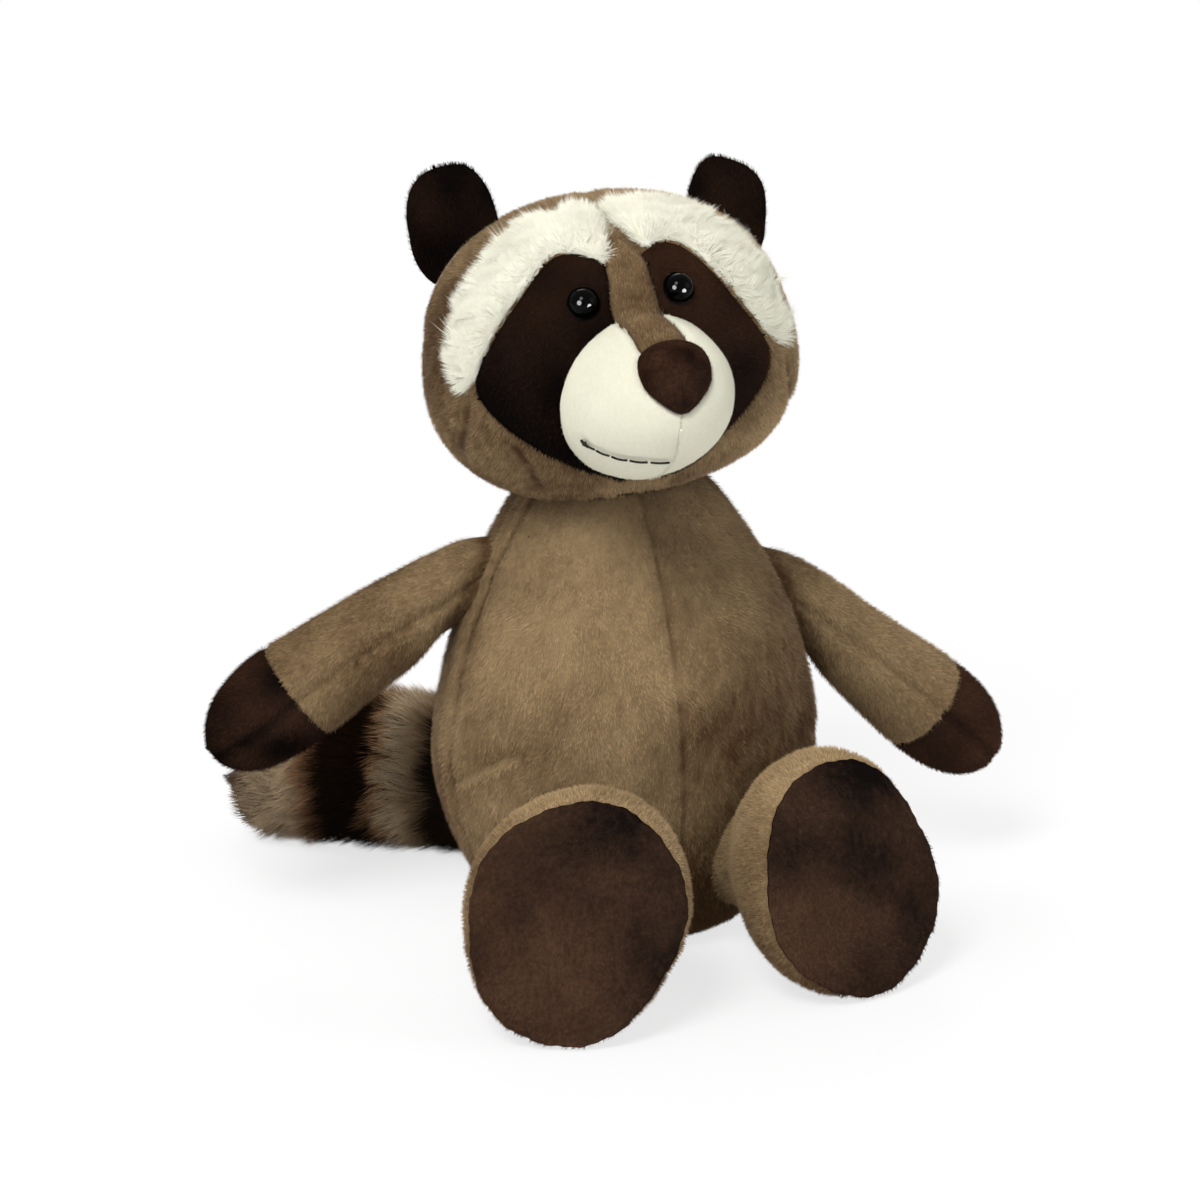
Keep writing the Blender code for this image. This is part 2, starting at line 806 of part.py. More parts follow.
def make_leg(side_name, place, turn, roll, parts, materials, torso_clearance):
    frame = foot_frame(place, turn, roll)
    rings = []
    for back, share in leg_profile:
        half_width = leg_half_width + (foot_half_width - leg_half_width) * share
        half_height = leg_half_width + (foot_half_height - leg_half_width) * share
        rings.append(foot_ring(frame, -back, half_width, half_height))
    leg = loft(f"leg_{side_name}", rest_on_floor(rings))
    leg = add_object(f"leg_{side_name}", leg, parts, materials["taupe"])
    boolean(leg, torso_clearance, "DIFFERENCE")
    dome = ((0.0, 1.0), (0.30, 1.0), (0.62, 0.95), (0.84, 0.80), (0.96, 0.52))
    pad = []
    for rise, share in dome:
        height = seam_gap + rise * (sole_thickness - seam_gap)
        width = foot_half_width * sole_share * share
        pad.append(foot_ring(frame, height, width, foot_half_height * sole_share * share))
    sole = loft(f"sole_{side_name}", rest_on_floor(pad))
    add_object(f"sole_{side_name}", sole, parts, materials["sole"])


def tail_stations():
    """Evenly shared places along the tail's middle line: x, y, half thickness."""
    route = np.array(tail_route)
    travelled = np.concatenate([[0.0], np.cumsum(np.linalg.norm(np.diff(route[:, :2], axis=0), axis=1))])
    places = np.linspace(0.0, travelled[-1], tail_sections)
    return np.stack([np.interp(places, travelled, route[:, i]) for i in range(3)], axis=1)


def make_tail(parts, materials, torso_clearance):
    stations = tail_stations()
    ahead = np.gradient(stations[:, :2], axis=0)
    rings = []
    for (x, y, half), (run_x, run_y) in zip(stations, ahead):
        across = Vector((run_y, -run_x, 0.0)).normalized()
        up = Vector((0.0, 0.0, 1.0))
        centre = Vector((x, y, max(half, tail_tip_height) - floor_press))
        rings.append(stuffed_ring(centre, across, up, half, half, ring_angles(tail_columns, ()), 0.0, 0.0))
    mesh = loft("tail", rest_on_floor(rings))
    tail = add_object("tail", mesh, parts, materials["tail_dark"])
    mesh.materials.append(materials["tail_tan"])
    faces_each = len(mesh.polygons) / tail_bands
    for face in mesh.polygons:
        face.material_index = int(face.index / faces_each) % 2
    boolean(tail, torso_clearance, "DIFFERENCE")


def dart_cutter(side, cutters):
    """A thin lens laid on the torso's lower front, where the fabric is taken in."""
    shape = bmesh.new()
    bmesh.ops.create_uvsphere(shape, u_segments=12, v_segments=8, radius=0.5)
    turn = math.radians(dart_turn)
    girth = torso_girth(dart_height)
    place = Vector(
        (
            side * torso_half_width * girth * math.sin(turn),
            -torso_half_depth * girth * math.cos(turn),
            dart_height,
        )
    )
    cutter = add_cutter(f"dart_{'left' if side > 0 else 'right'}", mesh_from_bmesh("dart", shape), cutters)
    outward = Matrix.Rotation(side * turn, 4, "Z")
    rise = Matrix.Rotation(math.radians(side * dart_rise), 4, "Y")
    scale = Matrix.Diagonal((dart_length, dart_depth, dart_width, 1.0))
    cutter.matrix_local = Matrix.Translation(place) @ outward @ rise @ scale
    return cutter


def make_torso(parts, cutters, materials, head_clearance):
    torso = add_object("torso", loft("torso", torso_rings(0.0, seam_groove_depth)), parts, materials["taupe"])
    boolean(torso, head_clearance, "DIFFERENCE")
    for side in (1.0, -1.0):
        boolean(torso, dart_cutter(side, cutters), "DIFFERENCE")
    return add_cutter("torso_clearance", loft("torso_clearance", torso_rings(limb_gap, 0.0)), cutters)


def main():
    clear_scene()
    parts = make_collection("plush_raccoon")
    cutters = make_collection("cutters")
    materials = {
        "taupe": make_material("taupe_plush", taupe, 0.95),
        "dark": make_material("dark_plush", dark_brown, 0.95),
        "mask": make_material("mask_plush", dark_brown, 0.95),
        "ear": make_material("ear_plush", dark_brown, 0.95),
        "nose": make_material("nose_plush", dark_brown, 0.9),
        "sole": make_material("sole_plush", sole_brown, 0.9),
        "cream": make_material("cream_plush", cream, 0.95),
        "tail_dark": make_material("tail_fur_dark", dark_brown, 0.95),
        "tail_tan": make_material("tail_fur_tan", tail_tan, 0.95),
        "eye": make_material("eye_gloss", eye_black, 0.08),
        "washer": make_material("washer_plastic", washer_white, 0.45),
    }
    head_clearance = make_head(parts, cutters, materials)
    torso_clearance = make_torso(parts, cutters, materials, head_clearance)
    left_pose = (left_shoulder_height, left_arm_droop, left_arm_bend, left_arm_sweep)
    right_pose = (right_shoulder_height, right_arm_droop, right_arm_bend, right_arm_sweep)
    make_arm("left", 1.0, left_pose, parts, materials, torso_clearance)
    make_arm("right", -1.0, right_pose, parts, materials, torso_clearance)
    make_leg("left", left_sole_place, left_foot_turn, left_foot_roll, parts, materials, torso_clearance)
    make_leg("right", right_sole_place, right_foot_turn, right_foot_roll, parts, materials, torso_clearance)
    make_tail(parts, materials, torso_clearance)


main()
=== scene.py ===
"""Looks of a seated plush raccoon: sewn skins under a short pile, long brow and tail fur, eyes and stitches."""

import math

import bpy
import numpy as np
from mathutils import Matrix, Vector
from mathutils.kdtree import KDTree


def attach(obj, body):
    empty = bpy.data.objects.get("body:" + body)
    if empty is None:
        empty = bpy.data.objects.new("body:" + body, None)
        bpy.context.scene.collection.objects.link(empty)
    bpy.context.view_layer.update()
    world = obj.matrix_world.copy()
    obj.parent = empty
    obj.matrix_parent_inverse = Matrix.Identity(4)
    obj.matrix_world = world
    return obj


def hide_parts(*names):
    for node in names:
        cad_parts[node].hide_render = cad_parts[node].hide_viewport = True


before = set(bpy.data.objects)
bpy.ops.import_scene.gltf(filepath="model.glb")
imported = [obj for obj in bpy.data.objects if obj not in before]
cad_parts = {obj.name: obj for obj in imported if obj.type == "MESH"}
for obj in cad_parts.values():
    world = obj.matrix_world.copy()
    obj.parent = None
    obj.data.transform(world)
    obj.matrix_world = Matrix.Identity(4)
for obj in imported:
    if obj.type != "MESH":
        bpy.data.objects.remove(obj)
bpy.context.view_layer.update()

# Fit between the pieces, and the depth of the seams
seam_gap = 0.0003
valley_depth = 0.0011
valley_half_width = 0.0017

# Torso
torso_height = 0.134
torso_half_width = 0.0575
torso_half_depth = 0.048
torso_lean = -0.0045
side_seam_forward = 0.006
torso_fur = 0.0013
torso_profile = (
    (0.00, 0.50),
    (0.03, 0.64),
    (0.08, 0.745),
    (0.16, 0.86),
    (0.27, 0.955),
    (0.39, 1.00),
    (0.50, 0.985),
    (0.62, 0.925),
    (0.72, 0.85),
    (0.81, 0.755),
    (0.90, 0.630),
    (0.97, 0.515),
    (1.04, 0.37),
)

# Head
head_half_width = 0.0530
head_half_height = 0.0434
head_half_depth = 0.049
head_jowl = 0.10
head_powers = (2.25, 2.1, 2.2)
neck_sink = 0.0050
head_forward = -0.004
head_side = -0.0080
head_turn = -8.6
head_lift = 12.5
head_tilt = -5.6
muzzle_half_width = 0.0245
muzzle_half_height = 0.0230
muzzle_reach = 0.037
muzzle_drop = 0.0142
muzzle_set_back = 0.008
muzzle_blend = 0.004
# How far the muzzle leans to the toy's left for each length that it stands ahead of the face
muzzle_skew = 0.13
# How far the muzzle's seam rises towards the toy's left
muzzle_slant = 0.08
fan_forward_share = 0.37
fan_drop_share = 0.5

# Face panels
# The bridge's middle line and half width, from its top down to the nose
bridge_top = 0.0295
bridge_line = (
    (0.0008, 0.0235, 0.0053),
    (0.0010, 0.0165, 0.0060),
    (0.0010, 0.0085, 0.0070),
    (0.0026, 0.0040, 0.0072),
    (0.0032, -0.0025, 0.0060),
)
mask_outlines = {
    "right": (
        (0.0060, 0.0080), (0.0048, 0.0216), (0.0090, 0.0259), (0.0155, 0.0274),
        (0.0216, 0.0245), (0.0307, 0.0150), (0.0379, 0.0060), (0.0436, -0.0045),
        (0.0418, -0.0125), (0.0339, -0.0222), (0.0233, -0.0302), (0.0120, -0.0360),
        (0.0025, -0.0378), (0.0030, -0.0240),
    ),
    "left": (
        (0.0075, 0.0080), (0.0060, 0.0230), (0.0082, 0.0258), (0.0134, 0.0270),
        (0.0195, 0.0240), (0.0262, 0.0155), (0.0330, 0.0055), (0.0385, -0.0030),
        (0.0400, -0.0090), (0.0372, -0.0160), (0.0291, -0.0245), (0.0200, -0.0316),
        (0.0110, -0.0358), (0.0020, -0.0376), (0.0025, -0.0240),
    ),
}
brow_outlines = {
    "right": (
        (0.0045, 0.0240), (0.0038, 0.0310), (0.0025, 0.0365), (0.0075, 0.0392),
        (0.0215, 0.0368), (0.0320, 0.0300), (0.0405, 0.0200), (0.0455, 0.0105),
        (0.0482, 0.0015), (0.0470, -0.0065), (0.0438, -0.0030), (0.0384, 0.0068),
        (0.0312, 0.0158), (0.0220, 0.0253), (0.0150, 0.0284),
    ),
    "left": (
        (0.0072, 0.0268), (0.0030, 0.0330), (0.0008, 0.0378), (0.0095, 0.0398),
        (0.0225, 0.0372), (0.0320, 0.0305), (0.0395, 0.0205), (0.0445, 0.0100),
        (0.0466, 0.0010), (0.0452, -0.0060), (0.0405, -0.0025), (0.0342, 0.0062),
        (0.0274, 0.0162), (0.0200, 0.0255), (0.0135, 0.0282),
    ),
}
# Sewn darts on the face, as points from the head's middle
cheek_dart = ((0.0459, -0.0260, -0.0105), (0.0469, -0.0208, -0.0177), (0.0472, -0.0076, -0.0251))
chin_dart = ((-0.0349, -0.0301, -0.0250), (-0.0309, -0.0259, -0.0312), (-0.0274, -0.0160, -0.0372))
nose_side = 0.0042
nose_half_width = 0.0098
nose_top = 0.0000
nose_bottom = -0.0195
nose_crown = 0.0032
# Right half of the nose: shares of its half width, and of its height from the top down
nose_shape = (
    (0.0, 0.0), (0.36, 0.02), (0.70, 0.09), (0.92, 0.20), (1.0, 0.38),
    (0.90, 0.62), (0.56, 0.83), (0.22, 0.97), (0.0, 1.0),
)
mouth_line = ((-0.0190, -0.0241), (-0.0158, -0.0267), (-0.0112, -0.0291), (-0.0053, -0.0307), (0.0016, -0.0318))
thread_radius = 0.00032
right_eye_place = (0.0129, 0.0125)
left_eye_place = (0.0134, 0.0131)
eye_radius = 0.0040
eye_dome_height = 0.0036
eye_rim = 0.0005
eye_shank_radius = 0.0015

# Ears
ear_half_width = 0.0134
ear_half_height = 0.0185
ear_half_thickness = 0.0042
ear_cup = 0.0065
ear_root_flare = 0.22
ear_places = {-1.0: (0.0367, 0.0380), 1.0: (0.0368, 0.0308)}
ear_back = 0.0060
right_ear_splay = 6.0
left_ear_splay = 20.0
ear_turn = 14.0
# How square the ear's top corners are; 2 is an ellipse
ear_power = 2.5

# Arms
arm_length = 0.112
shoulder_sink = 0.012
arm_flatness = 0.90
arm_profile = (
    (0.00, 0.0108),
    (0.12, 0.0123),
    (0.28, 0.0134),
    (0.44, 0.0142),
    (0.58, 0.0154),
    (0.72, 0.0163),
    (0.82, 0.0162),
    (0.90, 0.0142),
    (0.955, 0.0108),
    (0.988, 0.0058),
)
hand_share = 0.72
hand_half_width = 0.0163
# How far the sewn shoulder pulls the sleeve in, as a share of its half width
shoulder_pinch = 0.24
# Shoulder height, then droop, bend and sweep to the back in degrees
arm_poses = {-1.0: (0.1155, 33.5, 15.0, 16.0), 1.0: (0.1045, 39.5, 6.0, 4.0)}

# Legs
foot_half_width = 0.0305
foot_half_height = 0.0356
foot_tilt = 15.0
leg_half_width = 0.0180
leg_profile = (
    (0.0000, 0.94),
    (0.0035, 1.00),
    (0.0090, 1.01),
    (0.0160, 0.86),
    (0.0230, 0.52),
    (0.0320, 0.16),
    (0.0420, 0.00),
    (0.0540, 0.00),
)
sole_thickness = 0.0042
sole_share = 0.965
# How much of the sole's share the pile over its seam covers
sole_tuck = 0.025
leg_level = 0.62
floor_press = 0.0006
# Sole's place on the floor, then its turn and roll in degrees
foot_poses = {-1.0: ((-0.0455, -0.0830), -20.0, 20.0), 1.0: ((0.0368, -0.0775), 14.0, -12.0)}

# Tail: plan of its middle line and its half thickness, from the body out
tail_route = (
    (0.000, 0.034, 0.0170),
    (-0.010, 0.051, 0.0205),
    (-0.024, 0.065, 0.0235),
    (-0.040, 0.076, 0.0258),
    (-0.056, 0.086, 0.0258),
    (-0.069, 0.095, 0.0236),
    (-0.079, 0.102, 0.0190),
    (-0.086, 0.107, 0.0125),
    (-0.090, 0.110, 0.0055),
)
tail_tip_height = 0.0185

side_names = {1.0: "left", -1.0: "right"}

# Pile: blades to the square metre, their width, and their lean from the normal in degrees
pile_kinds = {
    "head": (3.4e6, 0.00030, 52.0),
    "bridge": (5.0e6, 0.00026, 48.0),
    "muzzle": (5.5e6, 0.00022, 56.0),
    "mask": (4.6e6, 0.00028, 48.0),
    "brow": (1.9e7, 0.00024, 66.0),
    "ear": (4.4e6, 0.00028, 46.0),
    "nose": (6.5e6, 0.00024, 48.0),
    "arm": (3.5e6, 0.00030, 50.0),
    "hand": (4.2e6, 0.00028, 50.0),
    "leg": (3.5e6, 0.00030, 48.0),
    "sole": (4.4e6, 0.00028, 48.0),
    "tail": (2.8e6, 0.00040, 50.0),
    "torso": (3.4e6, 0.00030, 50.0),
}
# How deep each skin lies under the solid's surface, which takes in the pile
head_fur = 0.0013
limb_fur = 0.0012
hand_fur = 0.0010
sole_fur = 0.0010
ear_fur = 0.0009
tail_fur_depth = 0.0046
# Length of the pile on open cloth, and beside a seam or dart
open_pile = 0.0021
seam_pile = 0.0012
# How far a limb's hidden end lies inside the torso's surface
limb_sink = -0.0030
patch_thickness = 0.0014
floor_clearance = 0.0002
full_turn = 2.0 * math.pi


# Small tools


def unit(vectors):
    return vectors / np.maximum(np.linalg.norm(vectors, axis=-1, keepdims=True), 1e-12)


def around(steps):
    return np.linspace(0.0, full_turn, steps, endpoint=False)


def turn_from(turn, degrees):
    """How far each turn is from the one in degrees, either way round."""
    return np.abs((turn - math.radians(degrees) + math.pi) % full_turn - math.pi)


def smooth_noise(points, size, seed):
    """Noise from -1 to 1 that varies smoothly over the given size."""
    table = np.random.default_rng(seed).uniform(-1.0, 1.0, 4096)
    cell = points / size + 1000.0
    low = np.floor(cell).astype(np.int64)
    part = cell - low
    part = part**2 * (3.0 - 2.0 * part)
    total = np.zeros(len(points))
    for corner in np.ndindex(2, 2, 2):
        at = low + corner
        index = ((at[:, 0] * 73856093) ^ (at[:, 1] * 19349663) ^ (at[:, 2] * 83492791)) % 4096
        total += np.prod(np.where(corner, part, 1.0 - part), axis=1) * table[index]
    return total


def swirl(points, size, seed):
    """Vectors that wander smoothly over the given size."""
    return np.stack([smooth_noise(points, size, seed + i) for i in range(3)], 1)


def lumps(points, broad, fine, seed):
    """Two kinds of soft dents, each with its height and size."""
    return broad[0] * smooth_noise(points, broad[1], seed) + fine[0] * smooth_noise(points, fine[1], seed + 1)


def smooth_loop(points, steps=8):
    points = np.array(points)
    before = np.roll(points, 1, axis=0)
    after = np.roll(points, -1, axis=0)
    beyond = np.roll(points, -2, axis=0)
    curve = []
    for t in np.arange(steps) / steps:
        slope = (after - before) * t
        bend = (2 * before - 5 * points + 4 * after - beyond) * t**2
        twist = (3 * points - before - 3 * after + beyond) * t**3
        curve.append(0.5 * (2 * points + slope + bend + twist))
    return np.stack(curve, axis=1).reshape(-1, points.shape[1])


def smooth_path(places, knots, values):
    """Values between the knots on a curve that runs smoothly through them."""
    knots = np.array(knots, dtype=float)
    values = np.array(values, dtype=float)
    slope = np.gradient(values, knots)
    index = np.clip(np.searchsorted(knots, places) - 1, 0, len(knots) - 2)
    span = knots[index + 1] - knots[index]
    t = (places - knots[index]) / span
    return (
        (2 * t**3 - 3 * t**2 + 1) * values[index]
        + (t**3 - 2 * t**2 + t) * span * slope[index]
        + (3 * t**2 - 2 * t**3) * values[index + 1]
        + (t**3 - t**2) * span * slope[index + 1]
    )


def distance_to_lines(points, lines):
    """Distance from each point to the nearest of some open lines of points."""
    best = np.full(len(points), 1.0)
    for line in lines:
        for start, end in zip(line[:-1], line[1:]):
            run = end - start
            share = np.clip((points - start) @ run / max(run @ run, 1e-16), 0.0, 1.0)
            best = np.minimum(best, np.linalg.norm(points - start - share[:, None] * run, axis=1))
    return best


def valley(distance, half_width=valley_half_width):
    return np.exp(-((distance / half_width) ** 2))


def tree_of(points, labels):
    tree = KDTree(len(points))
    for point, label in zip(points, labels):
        tree.insert(point, int(label))
    tree.balance()
    return tree


# Skins: each is (points, triangles, map place of each triangle's corners)


def vertex_normals(points, faces):
    corners = points[faces]
    across = np.cross(corners[:, 1] - corners[:, 0], corners[:, 2] - corners[:, 0])
    normals = np.zeros_like(points)
    for i in range(3):
        np.add.at(normals, faces[:, i], across)
    return unit(normals)


def face_directions(skin):
    points, faces, _ = skin
    return vertex_normals(points, faces)[faces].mean(axis=1)


def corner_maps(*corners):
    return np.stack([np.stack(np.broadcast_arrays(*corner), 1) for corner in corners], 1)


def grid_skin(rings):
    """A closed skin through rings of points, capped at both ends by a middle point."""
    rows, columns, _ = rings.shape
    points = np.concatenate([rings.reshape(-1, 3), rings[:1].mean(axis=1), rings[-1:].mean(axis=1)])
    row, column = (part.ravel() for part in np.meshgrid(np.arange(rows - 1), np.arange(columns), indexing="ij"))
    after = (column + 1) % columns
    near = row * columns
    far = near + columns
    left, right = column / columns, (column + 1) / columns
    low, high = (row + 1) / (rows + 1), (row + 2) / (rows + 1)
    faces = [
        np.stack([near + column, near + after, far + after], 1),
        np.stack([near + column, far + after, far + column], 1),
    ]
    maps = [
        corner_maps((left, low), (right, low), (right, high)),
        corner_maps((left, low), (right, high), (left, high)),
    ]
    ring = np.arange(columns)
    step = (ring + 1) % columns
    left, right = ring / columns, (ring + 1) / columns
    middle = (left + right) / 2.0
    last = (rows - 1) * columns
    faces.append(np.stack([step, ring, np.full(columns, rows * columns)], 1))
    maps.append(corner_maps((right, low[0]), (left, low[0]), (middle, 0.0)))
    faces.append(np.stack([last + ring, last + step, np.full(columns, rows * columns + 1)], 1))
    maps.append(corner_maps((left, high[-1]), (right, high[-1]), (middle, 1.0)))
    faces = np.concatenate(faces)
    maps = np.concatenate(maps)
    corners = points[faces]
    volume = np.einsum("ij,ij->", corners[:, 0], np.cross(corners[:, 1], corners[:, 2]))
    if volume < 0.0:
        return points, faces[:, ::-1].copy(), maps[:, ::-1].copy()
    return points, faces, maps


def touching(skin, flags, *caps):
    """Which faces touch a flagged point; a grid skin's two caps have flags of their own."""
    return np.append(flags, caps).astype(bool)[skin[1]].any(axis=1)


def thickened(points, faces, maps, thickness):
    """An open patch made a closed one, with its inner side and its edge."""
    used, index = np.unique(faces, return_inverse=True)
    faces = index.reshape(-1, 3)
    points = points[used]
    count = len(points)
    pairs = ([0, 1], [1, 2], [2, 0])
    edges = np.concatenate([faces[:, pair] for pair in pairs])
    edge_maps = np.concatenate([maps[:, pair] for pair in pairs])
    key = np.sort(edges, axis=1)
    _, first, uses = np.unique(key[:, 0] * count + key[:, 1], return_index=True, return_counts=True)
    once = first[uses == 1]
    a, b = edges[once].T
    map_a, map_b = edge_maps[once, 0], edge_maps[once, 1]
    all_faces = [faces, faces[:, ::-1] + count, np.stack([b, a, a + count], 1), np.stack([b, a + count, b + count], 1)]
    all_maps = [maps, maps[:, ::-1], np.stack([map_b, map_a, map_a], 1), np.stack([map_b, map_a, map_b], 1)]
    inner = points - vertex_normals(points, faces) * thickness
    return np.concatenate([points, inner]), np.concatenate(all_faces), np.concatenate(all_maps)


def outer_side(skin):
    """The patch's outer faces, whose points thickened() puts first."""
    points, faces, _ = skin
    return (faces < len(points) // 2).all(axis=1)


# Pile: thin blades rooted in a skin


def sampled(kind, skin, wanted, seed):
    """Roots spread over the skin's wanted faces: place, normal and map place."""
    points, faces, maps = skin
    rng = np.random.default_rng(seed)
    normals = vertex_normals(points, faces)
    chosen = np.flatnonzero(wanted)
    corners = points[faces[chosen]]
    area = np.linalg.norm(np.cross(corners[:, 1] - corners[:, 0], corners[:, 2] - corners[:, 0]), axis=1) / 2.0
    count = int(area.sum() * pile_kinds[kind][0])
    pick = chosen[rng.choice(len(chosen), count, p=area / area.sum())]
    a = np.sqrt(rng.uniform(size=count))
    b = rng.uniform(size=count)
    weights = np.stack([1.0 - a, a * (1.0 - b), a * b], 1)[:, :, None]
    roots, outward = ((values[faces[pick]] * weights).sum(axis=1) for values in (points, normals))
    return roots, unit(outward), (maps[pick] * weights).sum(axis=1)


def gathered(roots, share, seed):
    """The leading blade of the clump that each blade belongs to."""
    count = max(1, int(len(roots) * share))
    leaders = np.random.default_rng(seed).choice(len(roots), count, replace=False)
    tree = tree_of(roots[leaders], leaders)
    return np.array([tree.find(root)[1] for root in roots])


def blades(kind, rooted, comb, length, seed, more_lean=0.0, spread=14.0, segments=1, droop=0.0, soft=0.8, clump=0.0):
    """Blades that lean from the normal towards the comb direction, with their tips drawn into clumps."""
    roots, outward, places = rooted
    _, width, lean = pile_kinds[kind]
    rng = np.random.default_rng(seed)
    count = len(roots)
    comb = unit(comb - (comb * outward).sum(axis=1, keepdims=True) * outward + 1e-9)
    side = np.cross(outward, comb)
    swing = np.radians(rng.normal(0.0, spread, count))[:, None]
    comb = comb * np.cos(swing) + side * np.sin(swing)
    side = np.cross(outward, comb)
    turn = np.radians(lean + more_lean + rng.normal(0.0, 0.45 * spread, count))[:, None]
    turn = np.clip(turn, 0.02, math.radians(88.0))
    roll = np.radians(rng.normal(0.0, 22.0, count))[:, None]
    length = (length * rng.uniform(0.72, 1.12, count))[:, None]
    width = (width * rng.uniform(0.7, 1.25, count))[:, None]
    place = roots - outward * 0.0003
    leader = gathered(roots, 0.06, seed + 1) if clump else None
    points = []
    shades = []
    for level in range(segments + 1):
        axis = outward * np.cos(turn) + comb * np.sin(turn)
        flat = comb * np.cos(turn) - outward * np.sin(turn)
        wide = side * np.cos(roll) + flat * np.sin(roll) * 0.5
        facing = unit(np.cross(wide, axis))
        facing = np.where((facing * outward).sum(axis=1, keepdims=True) < 0.0, -facing, facing)
        shade = unit(outward * soft + facing * (1.0 - soft))
        half = wide * width * (1.0 - level / segments) / 2.0
        points += [place - half, place + half]
        shades += [shade, shade]
        place = place + axis * length / segments
        if clump:
            place = place + clump * ((level + 1) / segments) * (place[leader] - place)
        turn = np.clip(turn + math.radians(droop) / segments, 0.02, math.radians(100.0))
    each = 2 * segments + 1
    points = np.stack(points[:each], 1)
    tips = np.repeat(np.arange(segments + 1) / segments, 2)[:each]
    triangles = [part for low in range(0, each - 3, 2) for part in ((low, low + 1, low + 3), (low, low + 3, low + 2))]
    triangles.append((each - 3, each - 2, each - 1))
    geometric = np.cross(points[:, 1] - points[:, 0], points[:, -1] - points[:, 0])
    backwards = (geometric * shades[0]).sum(axis=1) < 0.0
    base = np.arange(count)[:, None, None] * each
    faces = base + np.array(triangles)[None]
    faces[backwards] = faces[backwards][:, :, ::-1]
    shift = np.stack([np.append(np.tile((-0.0006, 0.0006), segments), 0.0), 0.0012 * tips], 1)
    return {
        "points": points.reshape(-1, 3),
        "faces": faces.reshape(-1, 3),
        "maps": (places[:, None, None, :] + shift[faces - base]).reshape(-1, 3, 2),
        "normals": np.stack(shades[:each], 1).reshape(-1, 3),
        "tip": np.tile(tips, count),
        "root": np.repeat(roots, each, axis=0),
        "strand": np.repeat(rng.uniform(-1.0, 1.0, count), each),
    }


def rider(name, data, *replaced):
    """An object on the toy's one body, in place of the named nodes."""
    thing = bpy.data.objects.new(name, data)
    bpy.context.scene.collection.objects.link(thing)
    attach(thing, "root")
    if replaced:
        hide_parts(*replaced)
    return thing


def piece(name, skin, pile, material, tone, along=None, placed=None, strands=0.15):
    """One mesh of the skin and its pile, with the tone that its material reads."""
    points, faces, maps = skin
    normals = np.concatenate([vertex_normals(points, faces), pile["normals"]])
    faces = np.concatenate([faces, pile["faces"] + len(points)])
    maps = np.concatenate([maps, pile["maps"]])
    roots = np.concatenate([points, pile["root"]])
    tips, strand = (np.concatenate([np.zeros(len(points)), pile[key]]) for key in ("tip", "strand"))
    values = {"tone": np.clip(tone(roots) + strands * strand, 0.0, 1.0), "tip": tips}
    if along is not None:
        values["along"] = along(roots)
    points = np.concatenate([points, pile["points"]])
    if placed is not None:
        points, normals = placed(points, normals)
    points[:, 2] = np.maximum(points[:, 2], floor_clearance)
    mesh = bpy.data.meshes.new(f"{name}_plush")
    mesh.vertices.add(len(points))
    mesh.vertices.foreach_set("co", points.astype(np.float32).ravel())
    mesh.loops.add(3 * len(faces))
    mesh.loops.foreach_set("vertex_index", faces.astype(np.int32).ravel())
    mesh.polygons.add(len(faces))
    mesh.polygons.foreach_set("loop_start", np.arange(0, 3 * len(faces), 3, dtype=np.int32))
    mesh.update(calc_edges=True)
    layer = mesh.uv_layers.new(name="OFBake")
    layer.data.foreach_set("uv", np.clip(maps, 0.0, 1.0).astype(np.float32).ravel())
    for key, per_point in values.items():
        made = mesh.attributes.new(key, "FLOAT", "POINT")
        made.data.foreach_set("value", per_point.astype(np.float32))
    mesh.materials.append(material)
    mesh.shade_smooth()
    mesh.normals_split_custom_set_from_vertices(normals.astype(np.float32))
    rider(f"{name}_plush", mesh, name)


# Materials


def nodes_of(name):
    material = bpy.data.materials.new(name)
    material.use_nodes = True
    tree = material.node_tree
    return material, tree, tree.nodes["Principled BSDF"]


def set_inputs(node, **values):
    """Sets inputs by their names, written with underscores for spaces."""
    for key, value in values.items():
        node.inputs[key.replace("_", " ")].default_value = value


def value_of(tree, name):
    node = tree.nodes.new("ShaderNodeAttribute")
    node.attribute_name = name
    return node.outputs["Fac"]


def ramp(tree, source, stops):
    node = tree.nodes.new("ShaderNodeValToRGB")
    tree.links.new(source, node.inputs["Fac"])
    elements = node.color_ramp.elements
    while len(elements) < len(stops):
        elements.new(0.5)
    for element, (place, colour) in zip(elements, stops):
        element.position = place
        element.color = (*colour, 1.0)
    return node.outputs["Color"]


def grain(tree, scale, low, high):
    """Fine grain between two colours."""
    noise = tree.nodes.new("ShaderNodeTexNoise")
    set_inputs(noise, Scale=scale, Detail=2.0)
    place = tree.nodes.new("ShaderNodeTexCoord")
    tree.links.new(place.outputs["Object"], noise.inputs["Vector"])
    return ramp(tree, noise.outputs["Fac"], ((0.3, low), (0.7, high)))


def multiplied(tree, one, two):
    node = tree.nodes.new("ShaderNodeMix")
    node.data_type = "RGBA"
    node.blend_type = "MULTIPLY"
    sockets = {socket.identifier: socket for socket in node.inputs}
    sockets["Factor_Float"].default_value = 1.0
    tree.links.new(one, sockets["A_Color"])
    tree.links.new(two, sockets["B_Color"])
    return next(socket for socket in node.outputs if socket.identifier == "Result_Color")


